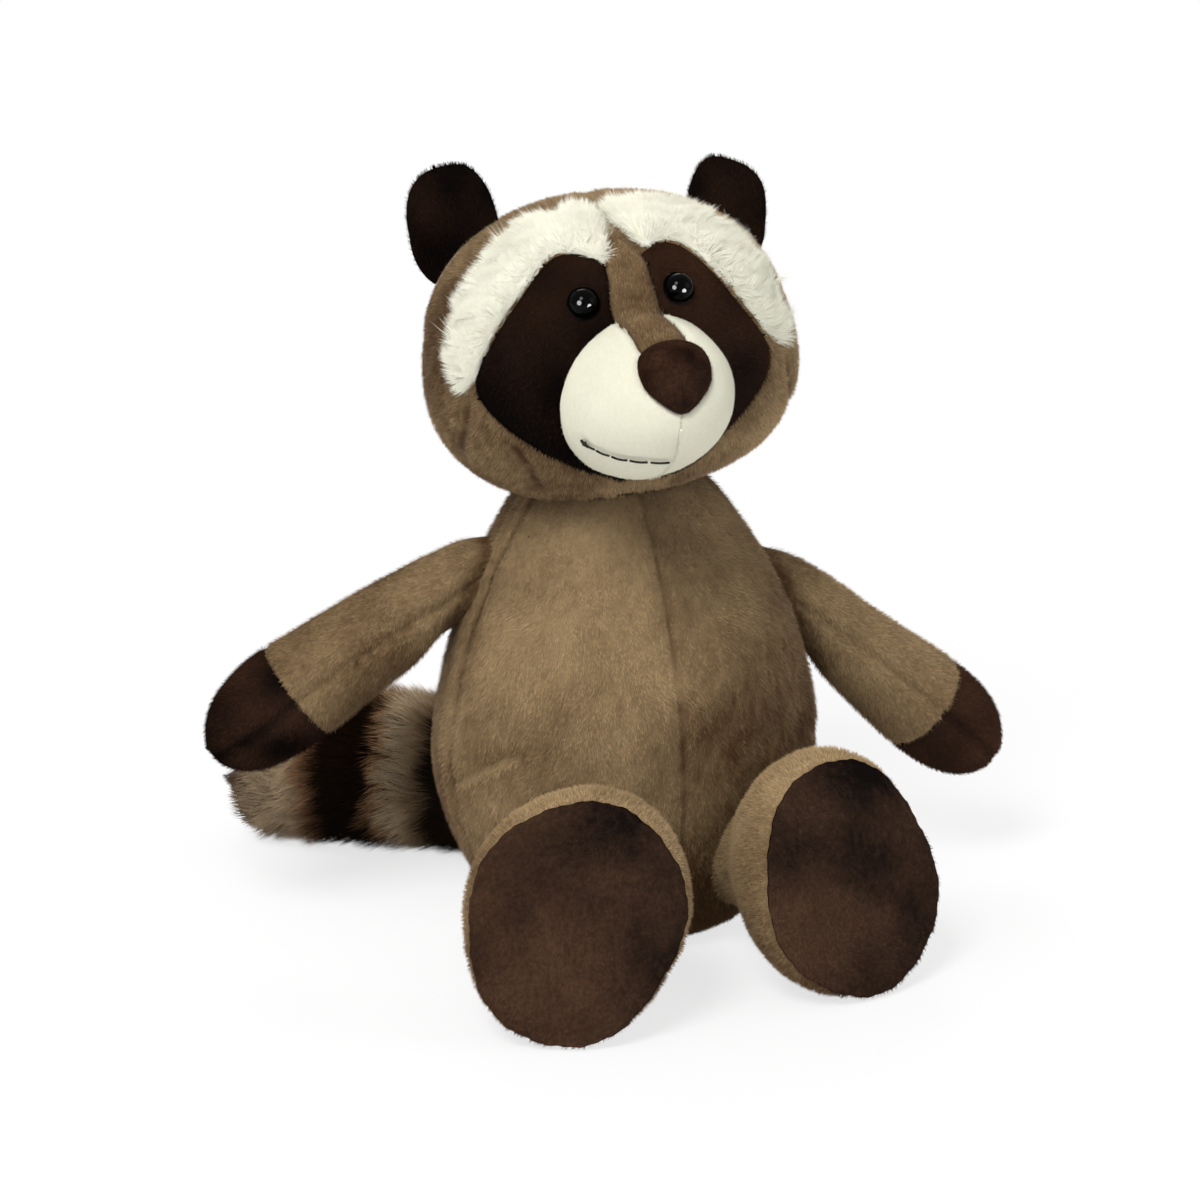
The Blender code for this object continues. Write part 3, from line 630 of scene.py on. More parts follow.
def plush(name, *colours, root=0.55, sheen=0.0, fleck=0.14, bands=None):
    """Pile that runs from dark to light with its tone, or in bands along the piece, and darker at its roots: partly the
    fibres' own colour, partly painted shade deep in the pile.
    """
    material, tree, shader = nodes_of(name)
    if bands:
        shade = ramp(tree, value_of(tree, "tone"), ((0.0, (0.62,) * 3), (1.0, (1.3,) * 3)))
        colour = multiplied(tree, ramp(tree, value_of(tree, "along"), bands), shade)
    else:
        colour = ramp(tree, value_of(tree, "tone"), tuple(zip((0.0, 1.0), colours)))
    # Darker at the roots: partly the fibres' own colour, partly painted shade deep in the pile
    depth = ramp(tree, value_of(tree, "tip"), ((0.0, (root,) * 3), (0.75, (1.0,) * 3)))
    colour = multiplied(tree, colour, depth)
    colour = multiplied(tree, colour, grain(tree, 900.0, (1.0 - fleck,) * 3, (1.0 + 0.8 * fleck,) * 3))
    tree.links.new(colour, shader.inputs["Base Color"])
    set_inputs(shader, Roughness=0.9, Specular_IOR_Level=0.01, Sheen_Weight=sheen, Sheen_Roughness=0.45)
    return material


def moulded(name, low, high, roughness, specular=0.05, scale=700.0):
    material, tree, shader = nodes_of(name)
    tree.links.new(grain(tree, scale, low, high), shader.inputs["Base Color"])
    set_inputs(shader, Roughness=roughness, Specular_IOR_Level=specular)
    return material


taupe = plush("taupe_plush", (0.110, 0.056, 0.024), (0.47, 0.325, 0.168), sheen=0.04)
taupe_face = plush("taupe_face_plush", (0.095, 0.050, 0.022), (0.43, 0.297, 0.155), sheen=0.04)
dark = plush("dark_plush", (0.004, 0.0012, 0.0004), (0.097, 0.044, 0.023))
mask_dark = plush("mask_plush", (0.002, 0.0006, 0.0002), (0.070, 0.030, 0.014))
sole_dark = plush("sole_plush", (0.004, 0.0014, 0.0006), (0.140, 0.070, 0.039), root=0.6, fleck=0.3)
nose_dark = plush("nose_plush", (0.012, 0.004, 0.0016), (0.099, 0.045, 0.023), root=0.6, fleck=0.35)
cream_short = plush("cream_plush", (0.65, 0.63, 0.495), (0.745, 0.735, 0.60), root=0.97, fleck=0.03)
cream_long = plush("cream_fur", (0.74, 0.72, 0.58), (0.90, 0.89, 0.77), root=0.90, fleck=0.04)
tail_bands = (
    (0.00, (0.010, 0.005, 0.002)),
    (0.405, (0.010, 0.005, 0.002)),
    (0.440, (0.250, 0.165, 0.092)),
    (0.490, (0.430, 0.325, 0.205)),
    (0.535, (0.230, 0.125, 0.060)),
    (0.570, (0.007, 0.003, 0.001)),
    (0.685, (0.007, 0.003, 0.001)),
    (0.720, (0.170, 0.085, 0.040)),
    (0.765, (0.320, 0.232, 0.142)),
    (0.860, (0.260, 0.192, 0.118)),
    (0.930, (0.130, 0.090, 0.056)),
    (1.00, (0.080, 0.052, 0.032)),
)
tail_fur = plush("tail_fur", root=0.5, bands=tail_bands)
eye_black = moulded("eye_gloss", (0.0006, 0.0006, 0.0006), (0.0012, 0.0011, 0.0011), 0.04, 0.06, 400.0)


def even_tone(middle, swing, size, seed):
    return lambda points: middle + swing * smooth_noise(points, size, seed)


def taupe_tone(scale, seed, lift=0.0, streak=(1.0, 1.0, 1.0), tuft=0.20):
    """The brushed nap: broad light and dark patches, and finer strokes in them."""

    def tone(points):
        broad = smooth_noise(points, 0.020 * scale, seed)
        fine = smooth_noise(points, 0.007 * scale, seed + 1)
        tufts = smooth_noise(points * streak, 0.0010, seed + 2)
        return 0.5 + lift + 0.24 * np.sign(broad) * np.abs(broad) ** 0.7 + 0.12 * fine + tuft * tufts

    return tone


# Torso

torso_shares, torso_girths = zip(*torso_profile)
torso_top_share = torso_shares[-1]


def torso_girth(height):
    return np.interp(height, [share * torso_height for share in torso_shares], torso_girths)


def torso_middle(height):
    return torso_lean * (height / torso_height) ** 3


def torso_round(height, angle):
    """Points round the torso's skin; angle 0 is straight ahead."""
    girth = torso_girth(height)
    half_x = torso_half_width * girth - torso_fur
    half_y = torso_half_depth * girth - torso_fur
    return np.stack([half_x * np.sin(angle), -half_y * np.cos(angle), height], axis=1)


def torso_measure(points):
    """The torso's middle line and girth at each point's height, and how far out the point is in the same measure."""
    share = np.clip(points[:, 2] / torso_height, 0.0, torso_top_share)
    middle = torso_lean * share**3
    girth = torso_girth(share * torso_height)
    flat = np.stack([points[:, 0] - middle, points[:, 1]], 1)
    reach = np.linalg.norm(flat / np.array([torso_half_width, torso_half_depth]), axis=1)
    return middle, girth, reach


def torso_inside(points, gap):
    """Points pushed out to lie clear of the torso, and which of them lay well inside it."""
    middle, girth, reach = torso_measure(points)
    wanted = girth + gap / torso_half_depth
    low = points[:, 2] < torso_top_share * torso_height
    scale = np.where((reach < wanted) & low, wanted / np.maximum(reach, 1e-6), 1.0)
    moved = np.stack([middle + (points[:, 0] - middle) * scale, points[:, 1] * scale, points[:, 2]], 1)
    return moved, (reach < wanted - 0.004) & low


def torso_gap(points):
    """How far outside the torso each point is."""
    middle, girth, reach = torso_measure(points)
    return np.maximum(reach - girth, 0.0) * torso_half_depth


# The short darts above the hips
hip_darts = [
    torso_round(np.linspace(0.0470, 0.0615, 7), np.radians(side * np.linspace(82.0, 52.0, 7))) for side in (1.0, -1.0)
]


def torso_skin():
    shares = np.concatenate([[0.0, 0.004], np.linspace(0.012, torso_top_share, 132)])
    columns = 176
    share, angle = (part.ravel() for part in np.meshgrid(shares, around(columns), indexing="ij"))
    girth = smooth_path(share, torso_shares, torso_girths)
    half_x = torso_half_width * girth - torso_fur
    half_y = torso_half_depth * girth - torso_fur
    across = torso_lean * share**3 + half_x * np.sin(angle)
    flat = np.stack([across, -half_y * np.cos(angle), share * torso_height], 1)
    radius = (half_x + half_y) / 2.0
    fade = np.clip(flat[:, 2] / 0.012, 0.0, 1.0)
    relief = np.zeros(len(flat))
    side_seam = np.abs(flat[:, 1] + side_seam_forward)
    for away in (turn_from(angle, 0.0) * radius, turn_from(angle, 180.0) * radius, side_seam):
        pucker = np.sin(flat[:, 2] / 0.0011 + 2.0 * smooth_noise(flat, 0.01, 11)) * valley(away, 0.005)
        relief -= (valley_depth * 1.25 * valley(away) + 0.00016 * pucker) * fade
    by_dart = distance_to_lines(flat, hip_darts)
    relief += 0.0012 * valley(by_dart, 0.0014) - 0.0014 * valley(by_dart, 0.0040)
    relief += 0.0007 * smooth_noise(flat, 0.026, 12) * fade + 0.00025 * smooth_noise(flat, 0.008, 13)
    outward = unit(np.stack([np.sin(angle) / 1.15, -np.cos(angle), np.zeros(len(flat))], 1))
    return grid_skin((flat + outward * relief[:, None]).reshape(len(shares), columns, 3))


# Head

head_place = Vector((head_side, head_forward, torso_height + head_half_height - neck_sink))
head_turns = (
    Matrix.Rotation(math.radians(head_turn), 3, "Z")
    @ Matrix.Rotation(math.radians(head_tilt), 3, "Y")
    @ Matrix.Rotation(math.radians(-head_lift), 3, "X")
)
head_frame = np.array(Matrix.Translation(head_place) @ head_turns.to_4x4())


def to_world(points, normals=None):
    moved = points @ head_frame[:3, :3].T + head_frame[:3, 3]
    if normals is None:
        return moved
    return moved, normals @ head_frame[:3, :3].T


def head_level(points):
    """Below 0 inside the skull and muzzle, and above 0 outside them."""
    drop = np.clip(-points[:, 2] / head_half_height, -0.2, 1.0)
    halves = (head_half_width * (1.0 + head_jowl * drop), head_half_depth, head_half_height)
    total = sum(np.abs(points[:, i] / halves[i]) ** head_powers[i] for i in range(3))
    skull = (total ** (1.0 / head_powers[2]) - 1.0) * head_half_depth
    offset = points - np.array((0.0, -head_half_depth + muzzle_set_back, -muzzle_drop))
    offset[:, 0] -= muzzle_skew * np.maximum(-points[:, 1] - head_half_depth, 0.0)
    halves = np.array((muzzle_half_width, muzzle_reach, muzzle_half_height))
    muzzle = (np.linalg.norm(offset / halves, axis=1) - 1.0) * muzzle_half_width
    overlap = np.maximum(muzzle_blend - np.abs(skull - muzzle), 0.0) / muzzle_blend
    return np.minimum(skull, muzzle) - overlap**2 * muzzle_blend / 4.0


def head_gradient(points):
    steps = 0.0003 * np.eye(3)
    return unit(np.stack([head_level(points + step) - head_level(points - step) for step in steps], 1))


fan_centre = np.array((0.0, -fan_forward_share * head_half_depth, -fan_drop_share * muzzle_drop))


def crossing(starts, directions, reach):
    """How far along each direction the head's surface lies."""
    near = np.zeros(len(directions))
    far = np.full(len(directions), reach)
    for _ in range(32):
        middle = (near + far) / 2.0
        inside = head_level(starts + directions * middle[:, None]) < 0.0
        near = np.where(inside, middle, near)
        far = np.where(inside, far, middle)
    return near


def face_points(outline):
    outline = np.array(outline)
    starts = np.stack([outline[:, 0], np.full(len(outline), fan_centre[1]), outline[:, 1]], axis=1)
    forward = np.tile(np.array((0.0, -1.0, 0.0)), (len(outline), 1))
    return starts + forward * crossing(starts, forward, 2.0 * head_half_width)[:, None]


def out_of_head(points, gap):
    """World points moved out of the head, and which of them lay well inside it."""
    local = (points - head_frame[:3, 3]) @ head_frame[:3, :3]
    level = head_level(local)
    moved = local + head_gradient(local) * np.maximum(gap - level, 0.0)[:, None]
    return to_world(moved), level < -0.004


def nose_outline():
    height = nose_top - nose_bottom
    corners = [(across * nose_half_width, nose_top - down * height) for across, down in nose_shape]
    left = [(-across, up) for across, up in corners[-2:0:-1]]
    return smooth_loop(corners + left) + (nose_side, 0.0)


def panel_outlines():
    """The face's panels, those that lie over others first."""
    crown = (bridge_line[0][0], bridge_top)
    right = [(middle + half, height) for middle, height, half in bridge_line]
    left = [(middle - half, height) for middle, height, half in reversed(bridge_line)]
    turns = np.radians(np.linspace(0.0, 357.0, 120))
    across = muzzle_half_height * np.cos(turns)
    up = -muzzle_drop + muzzle_half_height * np.sin(turns) + muzzle_slant * across
    found = {
        "nose": nose_outline(),
        "nose_bridge": smooth_loop([crown] + right + left),
        "muzzle": np.stack([across * (muzzle_half_width / muzzle_half_height), up], axis=1),
    }
    for side, name in side_names.items():
        for kind, shapes in (("mask", mask_outlines), ("brow_fur", brow_outlines)):
            points = np.array(shapes[name]) * (side, 1.0)
            found[f"{kind}_{name}"] = smooth_loop(points if side > 0 else points[::-1])
    return found


def spread_view(points):
    """Head points by their direction from the fan's centre: the angle from straight ahead, and which way."""
    ahead = unit(points - fan_centre)
    angle = np.arccos(np.clip(-ahead[:, 1], -1.0, 1.0))
    return unit(np.stack([ahead[:, 0], ahead[:, 2]], 1)) * angle[:, None]


def within(points, polygon):
    inside = np.zeros(len(points), dtype=bool)
    for (x0, y0), (x1, y1) in zip(polygon, np.roll(polygon, -1, axis=0)):
        crosses = (y0 > points[:, 1]) != (y1 > points[:, 1])
        if y1 != y0:
            inside ^= crosses & (points[:, 0] < (x1 - x0) * (points[:, 1] - y0) / (y1 - y0) + x0)
    return inside


def head_grid(columns, rows):
    """A dense net of the head's surface with its poles at front and back."""
    fall = np.linspace(0.0, math.pi, rows + 2)[1:-1]
    fall, turn = np.meshgrid(fall - 0.35 * np.sin(fall), around(columns), indexing="ij")
    directions = np.stack([np.sin(fall) * np.cos(turn), -np.cos(fall), np.sin(fall) * np.sin(turn)], axis=2)
    directions = directions.reshape(-1, 3)
    reach = crossing(fan_centre, directions, 3.0 * head_half_width)
    return (fan_centre + directions * reach[:, None]).reshape(rows, columns, 3)


net_points, net_faces, net_maps = grid_skin(head_grid(204, 156))
outlines = panel_outlines()
lines = {name: face_points(outline) for name, outline in outlines.items()}
views = {name: spread_view(line) for name, line in lines.items()}
numbers = {name: number for number, name in enumerate(outlines, start=1)}


def seen_edges():
    """Places close together along the panels' edges, without those that lie under another panel."""
    seen = []
    over = []
    for name, line in lines.items():
        after = np.roll(line, -1, axis=0)
        places = np.concatenate([line * (1.0 - t) + after * t for t in (0.0, 0.34, 0.67)])
        flat = spread_view(places)
        hidden = np.zeros(len(places), dtype=bool)
        for other in over:
            hidden |= within(flat, other)
        seen.append(places[~hidden])
        over.append(views[name])
    return np.concatenate(seen)


edge_places = seen_edges()
edge_tree = tree_of(edge_places, range(len(edge_places)))


def nearest_edge(points):
    """The nearest place on any panel's seen edge, and how far it is."""
    found = [edge_tree.find(point) for point in points]
    return np.array([place[0] for place in found]), np.array([place[2] for place in found])


def labelled(points):
    """Which panel each head point lies on, 0 for the head itself."""
    flat = spread_view(points)
    label = np.zeros(len(points), dtype=int)
    for name in reversed(list(outlines)):
        label[within(flat, views[name]) & (points[:, 1] < fan_centre[1] + 0.004)] = numbers[name]
    return label


face_label = labelled(net_points[net_faces].mean(axis=1))
# Points between two panels go onto the panels' edge
lowest = np.full(len(net_points), 99)
highest = np.full(len(net_points), -1)
for i in range(3):
    np.minimum.at(lowest, net_faces[:, i], face_label)
    np.maximum.at(highest, net_faces[:, i], face_label)
near_place, near_distance = nearest_edge(net_points)
close = (lowest != highest) & (near_distance < 0.0016)
net_points[close] = near_place[close]
near_distance[close] = 0.0
net_normals = vertex_normals(net_points, net_faces)


def on_skin(marks):
    """The marks moved along lines from the head's middle onto the skin under the pile."""
    ahead = unit(np.array(marks))
    places = ahead * crossing(np.zeros(3), ahead, 3.0 * head_half_width)[:, None]
    return places - head_gradient(places) * head_fur


# The darts down the cheeks and the one under the toy's right cheek
face_darts = [on_skin(np.array(cheek_dart) * (side, 1.0, 1.0)) for side in (1.0, -1.0)] + [on_skin(chin_dart)]


def head_relief(points, distance):
    relief = -valley_depth * valley(distance, 0.0015)
    for line in face_darts:
        relief -= 0.0022 * valley(distance_to_lines(points, [line]), 0.0018)
    across, ahead, up = points.T
    relief -= 0.0009 * valley(np.abs(across)) * ((up > 0.030) | (ahead > 0.0) | (up < -0.036))
    relief += lumps(points, (0.0006, 0.022), (0.0002, 0.007), 21)
    chin = valley(across, 0.016) * valley(up + 0.041, 0.006) * (ahead < -0.01)
    return relief + 0.0007 * np.sin(across / 0.0011 + 1.3) * chin


def patch(inside, sink, bulge):
    """One face panel as a closed patch that curves down into its seams."""
    rise = bulge * (1.0 - np.exp(-near_distance / 0.006)) - 0.0010 * valley(near_distance, 0.0011) - sink
    rise = rise + 0.00012 * smooth_noise(net_points, 0.006, 31)
    return thickened(net_points + net_normals * rise[:, None], net_faces[inside], net_maps[inside], patch_thickness)


def panel(name, sink, bulge):
    return patch(face_label == numbers[name], sink, bulge)


def eye_seat(side):
    across, up = left_eye_place if side > 0 else right_eye_place
    return face_points([(side * across, up)])[0]


def make_head():
    in_panel = face_label > 0
    under = np.zeros(len(net_points), dtype=bool)
    under[net_faces[in_panel].ravel()] = True
    under &= near_distance > 0.0005
    rise = head_relief(net_points, np.where(under, 0.01, near_distance)) - np.where(under, 0.0034, head_fur)
    skin = (net_points + net_normals * rise[:, None], net_faces, net_maps)
    bare = torso_inside(to_world(skin[0][net_faces].mean(axis=1)), 0.0)[1]
    rooted = sampled("head", skin, ~in_panel & ~bare, 101)
    roots = rooted[0]
    comb = np.array((0.0, 0.75, -0.65)) + 0.55 * swirl(roots, 0.018, 111)
    length = np.where(nearest_edge(roots)[1] < 0.0015, 0.0013, open_pile)
    length = np.where(distance_to_lines(roots, face_darts) < 0.0030, 0.0008, length)
    nap = taupe_tone(0.9, 120, -0.05, streak=(1.0, 0.5, 0.5))

    def tone(points):
        # Painted shade along the face's darts
        darts = valley(distance_to_lines(points, face_darts), 0.0011)
        # Painted light: the head grows lighter towards the toy's left side, more steeply past the middle
        return nap(points) + 4.0 * points[:, 0] + 3.0 * np.maximum(points[:, 0], 0.0) - 0.6 * darts

    piece("head", skin, blades("head", rooted, comb, length, 102), taupe_face, tone, placed=to_world)


def make_bridge():
    skin = panel("nose_bridge", 0.0011, 0.0006)
    rooted = sampled("bridge", skin, outer_side(skin), 131)
    pile = blades("bridge", rooted, np.array((0.0, 0.1, 1.0)), 0.0016, 132)
    piece("nose_bridge", skin, pile, taupe_face, taupe_tone(0.8, 130, tuft=0.12), placed=to_world)


def make_muzzle(side, name):
    middles = net_points[net_faces].mean(axis=1)
    across = middles[:, 0] + muzzle_skew * (middles[:, 1] + head_half_depth)
    skin = patch((face_label == numbers["muzzle"]) & (across * side > 0.0), 0.0009, 0.0004)
    rooted = sampled("muzzle", skin, outer_side(skin), 140 + int(side))
    roots = rooted[0]
    comb = np.stack([roots[:, 0] * 20.0, np.full(len(roots), 0.3), -0.6 + roots[:, 2] * 10.0], 1)
    pile = blades("muzzle", rooted, comb, 0.0010, 145, soft=0.96)
    tone = even_tone(0.6, 0.2, 0.008, 146)
    piece(f"muzzle_{name}", skin, pile, cream_short, tone, placed=to_world, strands=0.08)


def make_mask(side, name):
    skin = panel(f"mask_{name}", 0.0010, 0.0004)
    rooted = sampled("mask", skin, outer_side(skin), 150 + int(side))
    clear = np.linalg.norm(rooted[0] - eye_seat(side), axis=1) > eye_radius + eye_rim + 0.0002
    rooted = [part[clear] for part in rooted]
    comb = np.array((side * 0.4, 0.2, -0.9)) + 0.4 * swirl(rooted[0], 0.012, 151)
    pile = blades("mask", rooted, comb, 0.0016, 155)
    nap = even_tone(0.25 + 0.13 * side, 0.20, 0.010, 156)
    # Painted light and shade: the mask grows lighter towards its top and darker lower down
    piece(f"mask_{name}", skin, pile, mask_dark, lambda p: nap(p) + 7.0 * p[:, 2], placed=to_world, strands=0.16)


def make_brow(side, name):
    """Long pale fur that is combed away from the mask, over the taupe beyond its seam."""
    skin = panel(f"brow_fur_{name}", 0.0014, 0.0008)
    rooted = sampled("brow", skin, outer_side(skin), 160 + int(side))
    roots = rooted[0]
    gap = roots[:, None, :] - lines[f"mask_{name}"][None, ::4, :]
    distance = np.linalg.norm(gap, axis=2)
    nearest = np.argmin(distance, axis=1)
    away = unit(gap[np.arange(len(roots)), nearest])
    comb = away + np.array((side * 0.25, 0.35, 0.05)) + 0.42 * swirl(roots, 0.006, 161)
    outer = np.clip(distance.min(axis=1) / 0.009, 0.0, 1.0)
    length = 0.0040 + outer * (0.0038 + 0.0046 * smooth_noise(roots, 0.0022, 164))
    shape = {"spread": 10.0, "segments": 2, "droop": 4.0, "soft": 0.97, "clump": 0.36}
    pile = blades("brow", rooted, comb, length, 165, more_lean=12.0 * outer, **shape)
    tone = even_tone(0.66, 0.14, 0.004, 166)
    piece(f"brow_fur_{name}", skin, pile, cream_long, tone, placed=to_world, strands=0.12)


def make_eye(side, name):
    """A turned dome with its rim and shank, from a profile of radius and height."""
    seat = eye_seat(side)
    outward = head_gradient(np.array([seat]))[0]
    radius = eye_radius + eye_rim
    base = seam_gap + eye_rim + 0.0002
    falls = np.radians(np.linspace(4.0, 88.0, 22))
    profile = [(eye_radius * math.sin(fall), base + eye_dome_height * math.cos(fall)) for fall in falls]
    profile += [
        (eye_radius + 0.0001, seam_gap + eye_rim * 0.9),
        (radius - 0.0002, seam_gap + eye_rim * 1.1),
        (radius, seam_gap + eye_rim * 0.6),
        (radius - 0.0001, seam_gap),
        (0.0018, seam_gap),
        (eye_shank_radius, -0.002),
        (eye_shank_radius, -0.0082),
    ]
    axis = np.array(Vector(outward).to_track_quat("Z", "Y").to_matrix())
    turns = around(64)
    rings = np.array([[(r * math.cos(t), r * math.sin(t), h) for t in turns] for r, h in profile])
    points, faces, maps = grid_skin(rings @ axis.T + (seat - outward * 0.0006))
    mesh = bpy.data.meshes.new(f"eye_{name}")
    mesh.from_pydata(to_world(points).tolist(), [], faces.tolist())
    layer = mesh.uv_layers.new(name="OFBake")
    layer.data.foreach_set("uv", maps.astype(np.float32).ravel())
    mesh.materials.append(eye_black)
    mesh.shade_smooth()
    mesh.set_sharp_from_angle(angle=math.radians(45.0))
    rider(f"eye_{name}_gloss", mesh, f"eye_{name}")


def make_ear(side, name):
    rows = 46
    columns = 72
    fall, turn = np.meshgrid(np.linspace(0.0, math.pi, rows + 2)[1:-1], around(columns), indexing="ij")
    x = np.sin(fall) * np.cos(turn)
    y = np.sin(fall) * np.sin(turn)
    z = np.cos(fall)
    square = np.hypot(x, z) / np.maximum((np.abs(x) ** ear_power + np.abs(z) ** ear_power) ** (1.0 / ear_power), 1e-6)
    square = np.where(z > 0.0, square, 1.0)
    x = x * square
    z = z * square
    flare = 1.0 + ear_root_flare * np.maximum(0.0, -z)
    edge = np.abs(y) / np.maximum(np.sqrt(y**2 + 0.02), 1e-6)
    thickness = y * (ear_half_thickness - ear_fur) * (0.75 + 0.25 * edge) - ear_cup * x**2
    flat = np.stack([x * (ear_half_width - ear_fur) * flare, thickness, z * (ear_half_height - ear_fur)], axis=2)
    splay = Matrix.Rotation(math.radians(side * (left_ear_splay if side > 0 else right_ear_splay)), 3, "Y")
    twist = Matrix.Rotation(math.radians(side * ear_turn), 3, "Z")
    across, up = ear_places[side]
    local = flat.reshape(-1, 3) @ np.array(twist @ splay).T + np.array((side * across, ear_back, up))
    local += unit(local - local.mean(axis=0)) * 0.0004 * smooth_noise(local, 0.008, 171)[:, None]
    moved, deep = out_of_head(to_world(local), -0.0006)
    skin = grid_skin(moved.reshape(rows, columns, 3))
    rooted = sampled("ear", skin, ~touching(skin, deep, False, False), 172 + int(side))
    comb = head_frame[:3, 2] + 0.45 * swirl(rooted[0], 0.010, 173)
    pile = blades("ear", rooted, comb, 0.0017, 176)
    piece(f"ear_{name}", skin, pile, mask_dark, even_tone(0.10, 0.20, 0.009, 177))


def make_nose():
    outline = nose_outline()
    middle = np.array((nose_side, (nose_top + nose_bottom) / 2.0 + 0.001))
    crown = 1.0 - np.linspace(0.0, 1.0, 26)[1:-1] ** 1.4
    steps = [(0.6, -0.0022), (1.0, -0.0022), (1.0, -0.0006)]
    steps += [(share, -0.0006 + (nose_crown + 0.0002) * (1.0 - share**3.2) ** 0.6) for share in crown]
    rings = []
    for share, rise in steps:
        places = face_points(middle + (outline - middle) * share)
        groove = 0.0004 * valley(np.abs(places[:, 0] - nose_side), 0.0006) * (rise > 0.0)
        rings.append(places + unit(places - fan_centre) * (rise - groove)[:, None])
    skin = grid_skin(np.array(rings))
    rooted = sampled("nose", skin, face_directions(skin)[:, 1] < 0.2, 181)
    roots = rooted[0]
    comb = np.stack([roots[:, 0] * 60.0, np.full(len(roots), 0.3), np.full(len(roots), -0.8)], 1)
    pile = blades("nose", rooted, comb, 0.0010, 182)
    piece("nose", skin, pile, nose_dark, even_tone(0.27, 0.26, 0.004, 183), placed=to_world)


# Arms


def arm_direction(side, droop, sweep):
    droop = np.radians(droop)
    sweep = math.radians(sweep)
    return np.stack([side * np.cos(droop) * math.cos(sweep), np.cos(droop) * math.sin(sweep), -np.sin(droop)], -1)


def arm_line(side, distances):
    """The arm's middle line, with its forward and up directions."""
    height, droop, bend, sweep = arm_poses[side]
    root = np.array((side * (torso_half_width * torso_girth(height) - shoulder_sink), 0.0, height))
    turned_by = bend * distances / arm_length
    start = droop - bend / 2.0
    chord = distances * np.sinc(np.radians(turned_by) / 2.0 / math.pi)
    direction = arm_direction(side, start + turned_by, sweep)
    forward = unit(np.cross(direction, (0.0, 0.0, 1.0))) * side
    up = unit(np.cross(forward, direction)) * side
    return root + arm_direction(side, start + turned_by / 2.0, sweep) * chord[:, None], forward, up


def limb_rings(side, distances, halves, columns, fur, sleeve):
    middle, forward, up = arm_line(side, distances)
    half = np.maximum(halves - fur, 0.0004)[:, None]
    turn = around(columns)
    ahead = forward[:, None] * (half * arm_flatness * np.sin(turn))[..., None]
    base = middle[:, None] + ahead + up[:, None] * (half * np.cos(turn))[..., None]
    relief = np.zeros(base.shape[:2])
    for seam in (90.0, 270.0):
        away = turn_from(turn, seam) * half
        pucker = np.sin(distances[:, None] / 0.0010) * valley(away, 0.0045)
        relief -= 0.0012 * valley(away) + 0.00018 * pucker
    if sleeve:
        near = valley(distances - shoulder_sink, 0.011)[:, None]
        relief -= near * (0.0005 + 0.0008 * np.cos(5.0 * turn + side))
    wrist = distances[-1] if sleeve else distances[0]
    relief -= 0.0004 * valley(distances[:, None] - wrist, 0.0012)
    relief += lumps(base.reshape(-1, 3), (0.0006, 0.020), (0.0002, 0.006), 201).reshape(relief.shape)
    relief *= np.clip(half / 0.006, 0.0, 1.0)
    outward = forward[:, None] * np.sin(turn)[None, :, None] + up[:, None] * np.cos(turn)[None, :, None]
    return base + outward * relief[..., None]


def front_seam(side, distances, halves):
    """The line of the sewn seam along the front of the arm, on the skin under the pile."""
    middle, forward, _ = arm_line(side, distances)
    return (middle + forward * ((halves - limb_fur) * arm_flatness)[:, None])[::3]


def make_arm(side, name):
    wrist = hand_share * arm_length
    distances = np.linspace(0.0, wrist, 96)
    shares, widths = np.array(arm_profile).T
    halves = smooth_path(distances, shares * arm_length, widths)
    rings = limb_rings(side, distances, halves, 96, limb_fur, True)
    flat = rings.reshape(-1, 3)
    pinch = shoulder_pinch * valley(torso_gap(flat), 0.0040)
    flat = flat + (np.repeat(rings.mean(axis=1), rings.shape[1], axis=0) - flat) * pinch[:, None]
    moved, deep = torso_inside(flat, limb_sink)
    skin = grid_skin(moved.reshape(rings.shape))
    rooted = sampled("arm", skin, ~touching(skin, deep, True, True), 210 + int(side))
    roots = rooted[0]
    seam = front_seam(side, distances, halves)
    axis = arm_direction(side, np.array([arm_poses[side][1]]), arm_poses[side][3])[0]
    creased = (distance_to_lines(roots, [seam]) < 0.0012) | (torso_gap(roots) < 0.0014)
    comb = axis + np.array((0.0, 0.0, -0.4)) + 0.55 * swirl(roots, 0.016, 211)
    pile = blades("arm", rooted, comb, np.where(creased, seam_pile, 0.0020), 214)
    nap = taupe_tone(0.9, 215, 0.03 + 0.05 * side)

    def arm_tone(points):
        by_seam = valley(distance_to_lines(points, [seam]), 0.0013)
        # Painted light and shade of the puckers along the front seam
        painted_pucker_light_and_shade = 0.4 * by_seam * smooth_noise(points, 0.0016, 216)
        # Painted shade along the seam, and painted shadow where the arm meets the torso
        return nap(points) - 0.10 * by_seam + painted_pucker_light_and_shade - 0.55 * valley(torso_gap(points), 0.0026)

    piece(f"arm_{name}", skin, pile, taupe, arm_tone)

    start = wrist + seam_gap
    distances = start + (0.992 * arm_length - start) * np.linspace(0.0, 1.0, 48)
    tip = np.clip((arm_length - distances) / (arm_length - wrist), 0.0, 1.0)
    halves = hand_half_width * np.sqrt(np.clip(1.0 - (1.0 - tip) ** 2.9, 0.0, 1.0)) ** 1.05
    skin = grid_skin(limb_rings(side, distances, halves, 84, hand_fur, False))
    rooted = sampled("hand", skin, ~touching(skin, np.zeros(len(skin[0]) - 2), True, False), 220 + int(side))
    pile = blades("hand", rooted, axis + 0.5 * swirl(rooted[0], 0.012, 221), 0.0018, 224)
    hand_seam = front_seam(side, distances, halves)
    hand_nap = even_tone(0.38 + 0.17 * side, 0.30, 0.010, 225)

    def hand_tone(points):
        # Painted shade along the hand's front seam
        return hand_nap(points) - 0.30 * valley(distance_to_lines(points, [hand_seam]), 0.0016)

    piece(f"hand_{name}", skin, pile, dark, hand_tone)


# Legs


